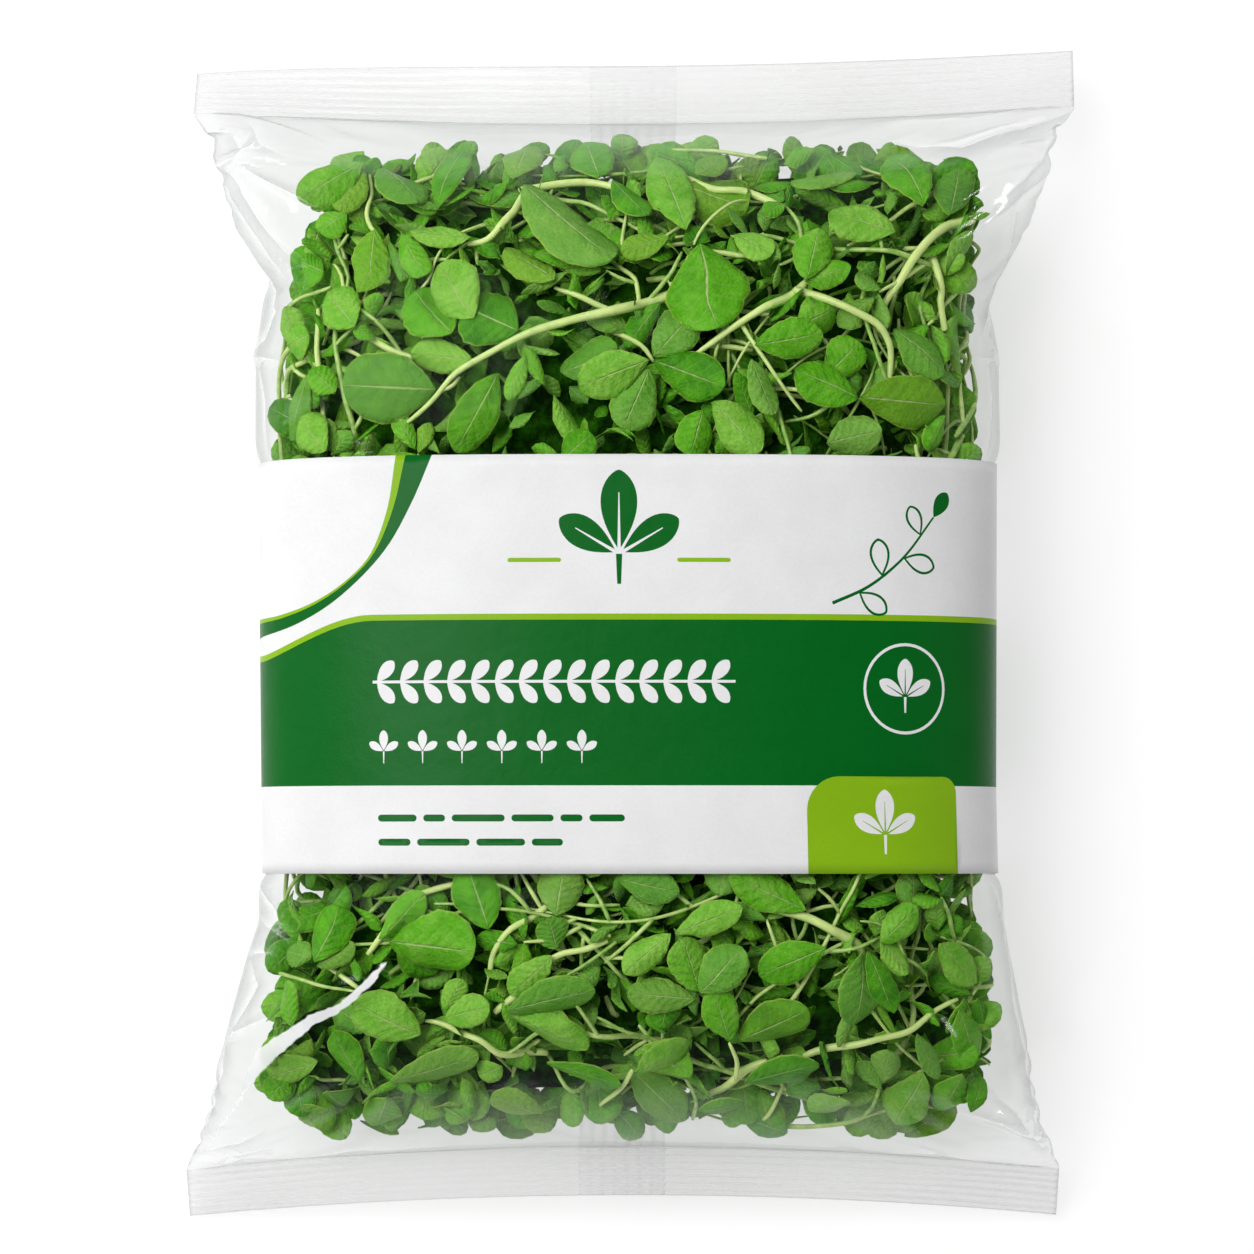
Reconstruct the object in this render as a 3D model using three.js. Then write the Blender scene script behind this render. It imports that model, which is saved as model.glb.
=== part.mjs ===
// A clear pillow bag of fresh fenugreek leaves with a printed band round its middle, lying on its back.
// Sizes are millimetres. X runs across the bag, +Y towards its top end and +Z up through its front.
// The origin is under the middle of the bag, on the plane that it rests on.
// The film is a flat tube, 200 mm wide, closed by a crimped seal at each end and by a fin down its back.
// Filled, its sides draw in between the seals, which keep the tube's full width.

import * as THREE from "three";

// ---- Driving dimensions ----

// The two crimped ends. A seal line bows outwards at its corners, by `bow`, and may be askew, by `tilt`.
// Its corners sag below its middle, and the crimped strip beyond it then droops: three angles, in radians,
// at its left corner, its middle and its right corner.
const TOP = { sign: 1, line: 114.2, bow: 3.7, tilt: 0.7, sag: 2, droop: [0.68, 0.08, 0.2] };
const BOTTOM = { sign: -1, line: -115.1, bow: 6, tilt: 0, sag: 9, droop: [0.64, 0.56, 0.62] };
const SEAL_DEPTH = 13.5;
const SEAL_HEIGHT = 19; // of the middle of a seal line above the resting plane
const SEAL_HALF_THICK = 0.45; // bonded film, thickened to a solid that can be handled
const RIDGE_COUNT = 5;
const RIDGE_HEIGHT = 0.3;
const END_REACH = 60; // the rows are bowed and sag within this distance of a seal line

// The pouch between them, from the bottom seal line to the top one: [place along Y, left side, right side]
const OUTLINE = [
  [-115.1, -100.3, 96.3],
  [-105, -95.4, 91.3],
  [-72, -84.3, 82.8],
  [-65, -81.6, 81.3],
  [-36, -82.1, 80.7],
  [36, -83.1, 81.2],
  [61, -82.9, 80.7],
  [70.5, -81.6, 78.5],
  [77, -79.8, 80.8],
  [89, -88.2, 88.6],
  [101, -92.9, 94.1],
  [109, -94.8, 95.8],
  [114.2, -99.3, 100.3],
];
const SIDE_HEIGHT = 27; // of the side edges above the resting plane, at the waist
const FRONT_RISE = 30; // from the side edges up to the crown of the front
const BACK_DROP = 29; // the same downwards, pressed flat by the resting plane
const SHOULDER = 58; // length over which an end thickens from its seal line to the full depth
const FRONT_SQUARENESS = [1.7, 2.6]; // exponent of the cross-section at the seals and at the waist
const BACK_SQUARENESS = [1.9, 3.6];
const LUMP_HEIGHT = 0.9; // the leaves show through the film as low swells
const PLEAT_HEIGHT = 1.4; // folds that fan out from each corner
const PLEATS = 5; // crests in a quarter turn round a corner

// The fin that closes the tube, folded flat against the back
const FIN_SHARE = 0.1; // half its width, as a share of the half width there
const FIN_THICK = 0.45;

// The printed band
const BAND_TOP = 36.1;
const BAND_BOTTOM = -54.4;
const BAND_THICK = 0.4;
const BAND_GAP = 0.3; // clearance to the film all round
const BAND_SET_IN = 0.1; // of the band's outer face behind the film's own surface

// Fineness of the faceting
const HALF_COLUMNS = 16;
const SHOULDER_ROWS = 13;
const BAND_ROWS = 7;

// ---- Small helpers ----

const clamp01 = (t) => Math.min(1, Math.max(0, t));
const mix = (a, b, t) => a + (b - a) * t;
const ease = (t) => clamp01(t) ** 2 * (3 - 2 * clamp01(t));
const power = (base, exponent) => Math.max(0, base) ** exponent;

// ---- The film's surface ----

// Columns across a face: shares of the half width, closer together near the sides, with the fin's edges among them.
function columnShares() {
  const shares = [];
  for (let i = -HALF_COLUMNS; i <= HALF_COLUMNS; i++) {
    const t = i / HALF_COLUMNS;
    shares.push(Math.sign(t) * (1 - (1 - Math.abs(t)) ** 1.8));
  }
  const beside = shares.filter((share) => Math.abs(share) > FIN_SHARE * 1.3);
  const fin = [-1.12, -0.98, 0, 0.98, 1.12].map((edge) => edge * FIN_SHARE);
  return [...beside, ...fin].sort((a, b) => a - b);
}
const COLUMNS = columnShares();

// The X of a column at a place along the pouch, between its left and right sides.
function across(share, y) {
  const next = Math.max(1, OUTLINE.findIndex(([place]) => place >= y));
  const [y0, left0, right0] = OUTLINE[next - 1];
  const [y1, left1, right1] = OUTLINE[next];
  const t = (y - y0) / (y1 - y0);
  return mix(mix(left0, left1, t), mix(right0, right1, t), (share + 1) / 2);
}

// How full the pouch is, from 0 on a seal line to 1 a shoulder's length inside it.
function fullness(y) {
  const inside = Math.min(y - BOTTOM.line, TOP.line - y);
  return power(1 - power(1 - clamp01(inside / SHOULDER), 2.2), 0.75);
}

// The end that a place belongs to, and how strongly it follows the form of that end's seal line.
const endAt = (y) => (y > 0 ? TOP : BOTTOM);
const followsEnd = (y) => ease(1 - Math.abs(endAt(y).line - y) / END_REACH);

// How far a point is carried along Y by the bow and the tilt of its seal line.
function bow(x, y) {
  const end = endAt(y);
  const side = x / 100;
  return end.sign * followsEnd(y) * (end.bow * side ** 2 + end.tilt * side);
}

// How far a point is let down by the sag of its seal line's corners.
const sag = (x, y) => followsEnd(y) * endAt(y).sag * (x / 100) ** 2;

// Low swells where leaves press against the film, none on the band or close to a seal.
function lump(x, y, side) {
  const off = ease(Math.max(y - BAND_TOP, BAND_BOTTOM - y) / 12);
  const swell = Math.sin(x * 0.17 + side) * Math.sin(y * 0.21 + 2 * side) + 0.6 * Math.sin(x * 0.09 - y * 0.13);
  return LUMP_HEIGHT * off * swell;
}

// Folds that fan out from the corners of the pouch and die away towards its middle.
function pleat(x, y) {
  const dx = 100 - Math.abs(x);
  const dy = Math.abs(endAt(y).line - y);
  const reach = Math.hypot(dx, dy);
  const wave = Math.cos(4 * PLEATS * Math.atan2(dy, dx));
  return PLEAT_HEIGHT * wave * ease(reach / 14) * ease((52 - reach) / 30);
}

// A ring of points round the pouch at y: along the front from left to right, then back along the underside.
function pouchRing(y) {
  const full = fullness(y);
  const middle = mix(SEAL_HEIGHT, SIDE_HEIGHT, ease(full));
  const at = (share, up) => {
    const x = across(share, y);
    return new THREE.Vector3(x, y + bow(x, y), Math.max(0, middle - sag(x, y) + up));
  };
  const face = (share, side) => {
    const x = across(share, y);
    const [low, high] = side > 0 ? FRONT_SQUARENESS : BACK_SQUARENESS;
    const exponent = mix(low, high, full);
    const round = power(1 - Math.abs(share) ** exponent, 1 / exponent);
    const depth = (side > 0 ? FRONT_RISE : BACK_DROP) * full * round;
    const relief = (lump(x, y, side) + pleat(x, y)) * clamp01(depth / 6);
    const fin = side < 0 && Math.abs(share) < FIN_SHARE ? FIN_THICK : 0;
    return at(share, side * (SEAL_HALF_THICK + depth + relief + fin));
  };
  return ringOf(face, (share) => at(share, 0));
}

// A ring round a crimped seal, at a share of its depth from the seal line (0) to its outer edge (1).
function sealRing(end, share) {
  const out = SEAL_DEPTH * share;
  const ridge = RIDGE_HEIGHT * Math.sin(Math.PI * RIDGE_COUNT * share) ** 2;
  const at = (column, up) => {
    const x = across(column, end.line);
    const [left, middle, right] = end.droop;
    const droop = mix(middle, column < 0 ? left : right, column ** 2);
    const y = end.line + bow(x, end.line) + end.sign * out * Math.cos(droop);
    return new THREE.Vector3(x, y, SEAL_HEIGHT - sag(x, end.line) - out * Math.sin(droop) + up);
  };
  const face = (column, side) => {
    const fin = side < 0 && Math.abs(column) < FIN_SHARE ? FIN_THICK : 0;
    return at(column, side * (SEAL_HALF_THICK + fin) + ridge);
  };
  return ringOf(face, (column) => at(column, 0));
}

// Joins a front row and a back row into one ring that shares the two side points.
function ringOf(face, sidePoint) {
  const between = COLUMNS.slice(1, -1);
  return [
    sidePoint(-1),
    ...between.map((share) => face(share, 1)),
    sidePoint(1),
    ...between.reverse().map((share) => face(share, -1)),
  ];
}

// ---- Rings to solids ----

// The same ring drawn in by a distance, square to itself in its own cross-section.
function drawnIn(ring, distance) {
  return ring.map((point, i) => {
    const before = ring.at(i - 1);
    const after = ring[(i + 1) % ring.length];
    const along = new THREE.Vector2(after.x - before.x, after.z - before.z).normalize();
    return new THREE.Vector3(point.x + along.y * distance, point.y, point.z - along.x * distance);
  });
}

// Triangles between one ring and the next.
function skin(lower, upper, put) {
  lower.forEach((a, i) => {
    const next = (i + 1) % lower.length;
    const b = lower[next];
    const c = upper[next];
    const d = upper[i];
    put(a, b, c);
    put(a, c, d);
  });
}

// Closes a ring flat, joining each front point to the back point under it.
function cap(ring, put) {
  const last = ring.length / 2;
  for (let i = 0; i < last; i++) {
    const front = ring[i];
    const nextFront = ring[i + 1];
    const back = ring.at(-i);
    const nextBack = ring.at(-i - 1);
    if (i > 0) put(front, back, nextFront);
    if (i < last - 1) put(back, nextBack, nextFront);
  }
}

function meshOf(name, triangles, material) {
  const positions = triangles.flatMap((point) => point.toArray());
  const geometry = new THREE.BufferGeometry();
  geometry.setAttribute("position", new THREE.Float32BufferAttribute(positions, 3));
  geometry.computeVertexNormals();
  const mesh = new THREE.Mesh(geometry, material);
  mesh.name = name;
  return mesh;
}

// ---- The parts ----

// Places along Y of the rings outside the band, from a seal line to the band's edge, closer together at the seal.
function shoulderPlaces(line, edge) {
  return Array.from({ length: SHOULDER_ROWS }, (_, i) => mix(line, edge, ((i + 1) / SHOULDER_ROWS) ** 1.35));
}

const bandPlaces = Array.from({ length: BAND_ROWS + 1 }, (_, i) => mix(BAND_BOTTOM, BAND_TOP, i / BAND_ROWS));

// Film and contents as one solid, drawn in where the band goes round it.
function filmBag() {
  const sealShares = Array.from({ length: 2 * RIDGE_COUNT + 1 }, (_, i) => i / (2 * RIDGE_COUNT));
  const recess = BAND_SET_IN + BAND_THICK + BAND_GAP;
  const stepped = (place, out) => [pouchRing(place + out * 2 * BAND_GAP), drawnIn(pouchRing(place + out * BAND_GAP), recess)];
  const rings = [
    ...sealShares.toReversed().map((share) => sealRing(BOTTOM, share)),
    ...shoulderPlaces(BOTTOM.line, BAND_BOTTOM - 2 * BAND_GAP).slice(0, -1).map(pouchRing),
    ...stepped(BAND_BOTTOM, -1),
    ...bandPlaces.slice(1, -1).map((place) => drawnIn(pouchRing(place), recess)),
    ...stepped(BAND_TOP, 1).toReversed(),
    ...shoulderPlaces(TOP.line, BAND_TOP + 2 * BAND_GAP).slice(0, -1).toReversed().map(pouchRing),
    ...sealShares.map((share) => sealRing(TOP, share)),
  ];
  const triangles = [];
  const put = (a, b, c) => triangles.push(a, b, c);
  rings.slice(1).forEach((ring, i) => skin(rings[i], ring, put));
  cap(rings[0], (a, b, c) => put(a, b, c));
  cap(rings.at(-1), (a, b, c) => put(a, c, b));
  const look = new THREE.MeshStandardMaterial({ color: 0x5f9a3c, roughness: 0.25, metalness: 0 });
  return meshOf("film_bag", triangles, look);
}

// The printed band, a closed loop round film and contents.
function labelBand() {
  const outer = bandPlaces.map((place) => drawnIn(pouchRing(place), BAND_SET_IN));
  const inner = bandPlaces.map((place) => drawnIn(pouchRing(place), BAND_SET_IN + BAND_THICK));
  const triangles = [];
  const put = (a, b, c) => triangles.push(a, b, c);
  const putTurned = (a, b, c) => triangles.push(a, c, b);
  outer.slice(1).forEach((ring, i) => skin(outer[i], ring, put));
  inner.slice(1).forEach((ring, i) => skin(inner[i], ring, putTurned));
  skin(inner[0], outer[0], put);
  skin(inner.at(-1), outer.at(-1), putTurned);
  const look = new THREE.MeshStandardMaterial({ color: 0xf0f0ee, roughness: 0.4, metalness: 0 });
  return meshOf("label_band", triangles, look);
}

const bag = new THREE.Group();
bag.add(filmBag(), labelBand());

export default bag;
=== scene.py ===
import math
import random

import bmesh
import bpy
import numpy as np
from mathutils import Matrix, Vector
from mathutils.geometry import delaunay_2d_cdt


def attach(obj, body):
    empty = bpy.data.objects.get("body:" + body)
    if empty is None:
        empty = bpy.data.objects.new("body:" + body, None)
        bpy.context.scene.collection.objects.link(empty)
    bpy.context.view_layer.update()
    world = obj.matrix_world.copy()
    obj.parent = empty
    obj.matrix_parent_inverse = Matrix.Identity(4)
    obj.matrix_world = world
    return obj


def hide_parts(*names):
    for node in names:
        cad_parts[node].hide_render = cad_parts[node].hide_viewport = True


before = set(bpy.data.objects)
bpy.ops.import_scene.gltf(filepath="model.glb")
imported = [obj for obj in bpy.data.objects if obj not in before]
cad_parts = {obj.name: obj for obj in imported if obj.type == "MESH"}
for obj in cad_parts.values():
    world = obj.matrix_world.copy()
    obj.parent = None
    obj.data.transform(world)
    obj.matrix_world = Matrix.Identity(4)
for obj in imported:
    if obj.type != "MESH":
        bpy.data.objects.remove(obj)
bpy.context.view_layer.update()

bl_info = {
    "name": "Bag of Fenugreek Leaves",
    "version": (1, 0, 0),
    "blender": (4, 5, 0),
    "location": "View3D > Sidebar > Leaf Bag",
    "description": "Builds a clear pillow bag of fresh fenugreek leaves with a printed band round it",
    "category": "Add Mesh",
}

MM = 0.001

# ---------------------------------------------------------------------------
# The pillow: the form that the film, the band and the leaves share, in millimetres
# ---------------------------------------------------------------------------

# The two crimped ends, as in the part: how a seal line bows outwards at its corners, stands askew and
# sags there, and how far the strip beyond it droops, in radians, at its left corner, middle and right one.
TOP = dict(sign=1, line=114.2, bow=3.7, tilt=0.7, sag=2.0, droop=(0.68, 0.08, 0.2))
BOTTOM = dict(sign=-1, line=-115.1, bow=6.0, tilt=0.0, sag=9.0, droop=(0.64, 0.56, 0.62))
SEAL_DEPTH = 13.5
SEAL_HEIGHT = 19.0
SEAL_HALF_THICK = 0.45
CRIMP_LINES = 7
END_REACH = 60.0

# [place along Y, left side, right side] of the pouch between the seal lines
OUTLINE = np.array([
    [-115.1, -100.3, 96.3],
    [-105, -95.4, 91.3],
    [-72, -84.3, 82.8],
    [-65, -81.6, 81.3],
    [-36, -82.1, 80.7],
    [36, -83.1, 81.2],
    [61, -82.9, 80.7],
    [70.5, -81.6, 78.5],
    [77, -79.8, 80.8],
    [89, -88.2, 88.6],
    [101, -92.9, 94.1],
    [109, -94.8, 95.8],
    [114.2, -99.3, 100.3],
])
SIDE_HEIGHT = 27.0
FRONT_RISE = 30.0
BACK_DROP = 29.0
SHOULDER = 58.0
FRONT_SQUARENESS = (1.7, 2.6)
BACK_SQUARENESS = (1.9, 3.6)

# The chart of the film tube has one column for each millimetre round it, with 0 down the middle of the front
GIRTH = 400
RIGHT_SIDE, BACK_MIDDLE, LEFT_SIDE = 100, 200, 300
HALF_FLAT = 100.0

BAND_TOP = 36.1
BAND_BOTTOM = -54.4


def mix(a, b, t):
    return a + (b - a) * t


def ease(t):
    t = np.clip(t, 0, 1)
    return t * t * (3 - 2 * t)


def power(base, exponent):
    return np.maximum(base, 0) ** exponent


def unit(vectors):
    """Vectors of length one in the same directions."""
    return vectors / np.maximum(np.linalg.norm(vectors, axis=-1, keepdims=True), 1e-9)


def run_along(line):
    """How far from its start each point of a flat line lies."""
    return np.concatenate([[0], np.cumsum(np.hypot(*np.diff(line, axis=0).T))])


def from_side(a):
    """How far round the film a place is from the nearer side edge."""
    return np.minimum(np.abs(a - RIGHT_SIDE), np.abs(a - LEFT_SIDE))


def between_rows(table, y):
    """The left and the right value of an outline table at places along Y."""
    return np.interp(y, table[:, 0], table[:, 1]), np.interp(y, table[:, 0], table[:, 2])


def across(share, y):
    """The X of a column at a place along the pouch, between its left and right sides."""
    left, right = between_rows(OUTLINE, y)
    return mix(left, right, (share + 1) / 2)


def fullness(y):
    """How full the pouch is, from 0 on a seal line to 1 a shoulder's length inside it."""
    inside = np.minimum(y - BOTTOM["line"], TOP["line"] - y)
    return power(1 - power(1 - np.clip(inside / SHOULDER, 0, 1), 2.2), 0.75)


def follow(y, end):
    """How strongly a place follows the form of an end's seal line."""
    return ease(1 - np.abs(end["line"] - y) / END_REACH)


def bow(x, y):
    """How far a point is carried along Y by the bow and the tilt of its seal line."""
    side = x / HALF_FLAT
    return sum(e["sign"] * follow(y, e) * (e["bow"] * side**2 + e["tilt"] * side) for e in (TOP, BOTTOM))


def sag(x, y):
    """How far a point is let down by the sag of its seal line's corners."""
    return sum(follow(y, e) * e["sag"] * (x / HALF_FLAT) ** 2 for e in (TOP, BOTTOM))


def pouch(share, y, side):
    """Points of the plain pouch: side is 1 on the front and -1 on the back."""
    full = fullness(y)
    x = across(share, y)
    low, high = FRONT_SQUARENESS if side > 0 else BACK_SQUARENESS
    exponent = mix(low, high, full)
    rounded = power(1 - power(np.abs(share), exponent), 1 / exponent)
    depth = (FRONT_RISE if side > 0 else BACK_DROP) * full * rounded
    middle = mix(SEAL_HEIGHT, SIDE_HEIGHT, ease(full))
    z = middle - sag(x, y) + side * (SEAL_HALF_THICK * np.sign(rounded) + depth)
    return np.stack([x, y + bow(x, y), np.maximum(z, 0)], axis=-1)


def pouch_heights(x, y):
    """The heights of the back and the front of the pouch at places in plan."""
    along = y - bow(x, y)
    left, right = between_rows(OUTLINE, along)
    share = np.clip((x - left) / (right - left) * 2 - 1, -1, 1)
    return pouch(share, along, -1)[..., 2], pouch(share, along, 1)[..., 2]


class Chart:
    """A map of the pouch as the flat tube that the film was: A runs round it in millimetres, from the middle
    of the front over the right side, the middle of the back and the left side, and B runs along it."""

    STEP = 1.0
    FINE_SHARES = np.sin(np.linspace(-1, 1, 801) * math.pi / 2)
    LEAST_STEEP = 0.08  # what the film's steepest parts count as, where a depth is worked out from a height
    DEEPEST_ROOM = 35

    def __init__(self):
        self.places = self._even_places()
        self.b = np.linspace(-1, 1, len(self.places)) * self.length / 2
        rings = []
        for y in self.places:
            front, back = self._half(y, 1), self._half(y, -1)
            rings.append(np.concatenate([front[RIGHT_SIDE:-1], back[::-1][:-1], front[:RIGHT_SIDE]]))
        self.points = np.array(rings)  # one row for each place, one column for each millimetre round
        self.normals = self._normals()
        self.room = self._room()

    def _half(self, y, side):
        """The points of the front or the back across one place, a millimetre of film apart."""
        line = pouch(self.FINE_SHARES, np.full_like(self.FINE_SHARES, y), side)
        run = run_along(line[:, [0, 2]])
        even = np.linspace(0, run[-1], GIRTH // 2 + 1)
        return np.stack([np.interp(even, run, line[:, k]) for k in range(3)], axis=-1)

    def _even_places(self):
        """Places along Y that are evenly far apart along the film, halfway between its middle and a side."""
        y = np.linspace(BOTTOM["line"], TOP["line"], 4001)
        line = pouch(np.full_like(y, 0.5), y, 1)
        run = run_along(line[:, [1, 2]])
        self.length = float(run[-1])
        return np.interp(np.linspace(0, run[-1], int(run[-1] / self.STEP) + 1), run, y)

    def _normals(self):
        around = np.roll(self.points, -1, axis=1) - np.roll(self.points, 1, axis=1)
        along = np.gradient(self.points, axis=0)
        normal = unit(np.cross(around, along))
        for _ in range(3):  # the folded side edges turn softly, so that what follows them does too
            normal = (np.roll(normal, 2, 1) + np.roll(normal, -2, 1) + 2 * normal) / 4
        return unit(normal)

    def _room(self):
        """How far each point could move inwards: half the pouch's thickness, and more at its folded sides."""
        z = self.points[..., 2]
        across_from = (GIRTH // 2 - np.arange(GIRTH)) % GIRTH
        half = np.abs(z - z[:, across_from]) / 2
        steep = np.abs(self.normals[..., 2])
        room = half / np.maximum(steep, self.LEAST_STEEP)
        beside = [np.roll(room, shift, 1) for shift in range(-4, 5)]
        return np.minimum(np.where(steep < 0.5, np.max(beside, axis=0), room), self.DEEPEST_ROOM)

    def _weights(self, a, b):
        """The cell of the chart that a place is in, and the place's shares of the way across it."""
        column = np.mod(a, GIRTH)
        row = np.clip((b + self.length / 2) / self.length * (len(self.b) - 1), 0, len(self.b) - 1.001)
        i, j = row.astype(int), column.astype(int) % GIRTH
        return i, j, (j + 1) % GIRTH, (row - i)[..., None], (column - np.floor(column))[..., None]

    def read(self, table, a, b):
        """The values of a table with the chart's rows and columns, at places between them."""
        i, j, j2, u, v = self._weights(np.asarray(a, float), np.asarray(b, float))
        if table.ndim == 2:
            table = table[..., None]
        return mix(mix(table[i, j], table[i, j2], v), mix(table[i + 1, j], table[i + 1, j2], v), u)

    def at(self, a, b, depth=0.0):
        """Points at that depth under the film."""
        depth = np.asarray(depth, float)
        return self.read(self.points, a, b) - self.read(self.normals, a, b) * depth[..., None]

    def find(self, x, y):
        """The A and B of the point of the front at x and y."""
        columns = np.arange(-RIGHT_SIDE, RIGHT_SIDE + 1)
        part = self.points[:, columns % GIRTH]
        far = (part[..., 0] - x) ** 2 + (part[..., 1] - y) ** 2
        row, column = np.unravel_index(np.argmin(far), far.shape)
        return float(columns[column]), float(self.b[row])


CHART = Chart()


# ---------------------------------------------------------------------------
# Small helpers
# ---------------------------------------------------------------------------


def placed(name, data):
    """A new object in the scene for a mesh, a light or a camera."""
    made = bpy.data.objects.new(name, data)
    bpy.context.scene.collection.objects.link(made)
    return made


def mesh_from(name, points, faces):
    """A smooth mesh object from points in millimetres and faces of any number of sides."""
    data = bpy.data.meshes.new(name)
    data.from_pydata((np.asarray(points) * MM).tolist(), [], [tuple(map(int, f)) for f in faces])
    data.update()
    data.polygons.foreach_set("use_smooth", [True] * len(data.polygons))
    return placed(name, data)


def quad_mesh(name, points, quads, smooth=True):
    """A mesh object from arrays: points in millimetres, quads, and which of them are shaded smooth."""
    data = bpy.data.meshes.new(name)
    data.vertices.add(len(points))
    data.vertices.foreach_set("co", (np.asarray(points) * MM).astype(np.float32).reshape(-1))
    data.loops.add(quads.size)
    data.loops.foreach_set("vertex_index", quads.astype(np.int32).reshape(-1))
    data.polygons.add(len(quads))
    data.polygons.foreach_set("loop_start", np.arange(0, quads.size, 4, dtype=np.int32))
    data.polygons.foreach_set("use_smooth", np.broadcast_to(smooth, len(quads)).astype(bool))
    data.update(calc_edges=True)
    data.validate()
    return placed(name, data)


def ring_quads(rows, columns):
    """The quads of a tube whose points come ring by ring."""
    index = np.arange(rows * columns).reshape(rows, columns)
    following = np.roll(index, -1, axis=1)
    return np.stack([index[:-1], following[:-1], following[1:], index[1:]], axis=-1).reshape(-1, 4)


def write_values(piece, name, values):
    """Stores one value for each point, for the material to read."""
    made = piece.data.attributes.new(name, "FLOAT", "POINT")
    made.data.foreach_set("value", np.asarray(values, np.float32).reshape(-1))


def cap_holes(piece):
    """Fills the open rings at the ends of tubes."""
    bm = bmesh.new()
    bm.from_mesh(piece.data)
    bmesh.ops.holes_fill(bm, edges=[e for e in bm.edges if e.is_boundary])
    bm.to_mesh(piece.data)
    bm.free()


def step_from(place, heading, length):
    """The place that lies a length away in a direction, in radians."""
    return place[0] + length * math.cos(heading), place[1] + length * math.sin(heading)


def keep(piece, slot, *nodes):
    """Rides a finished piece on the bag, with the nodes that it stands for, which it hides. slot, its
    material slot, is not used.
    """
    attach(piece, "root")
    if nodes:
        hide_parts(*nodes)
    return piece


# ---------------------------------------------------------------------------
# The camera, and places read off the photograph
# ---------------------------------------------------------------------------

FRAME_PIXELS = 1254
MM_PER_PIXEL = 0.2242  # at the height of the seals
TARGET = np.array([-1.1, 0.7, 19.0])
DISTANCE = 980.0
ELEVATION = math.radians(87)
FORWARD = np.array([0, math.cos(ELEVATION), -math.sin(ELEVATION)])
FIRST_GUESS = 45.0  # of the height of the film, where a pixel's place is looked for


def seen(px, py):
    """The A and B of the point of the front that the photograph shows at a pixel."""
    up = np.array([0, math.sin(ELEVATION), math.cos(ELEVATION)])
    eye = TARGET - FORWARD * DISTANCE
    half = FRAME_PIXELS / 2
    ray = FORWARD * DISTANCE + up * (half - py) * MM_PER_PIXEL
    ray[0] += (px - half) * MM_PER_PIXEL
    z = FIRST_GUESS
    for _ in range(3):
        x, y = (eye + ray * ((z - eye[2]) / ray[2]))[:2]
        a, b = CHART.find(x, y)
        z = float(CHART.at(a, b)[2])
    return a, b


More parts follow.
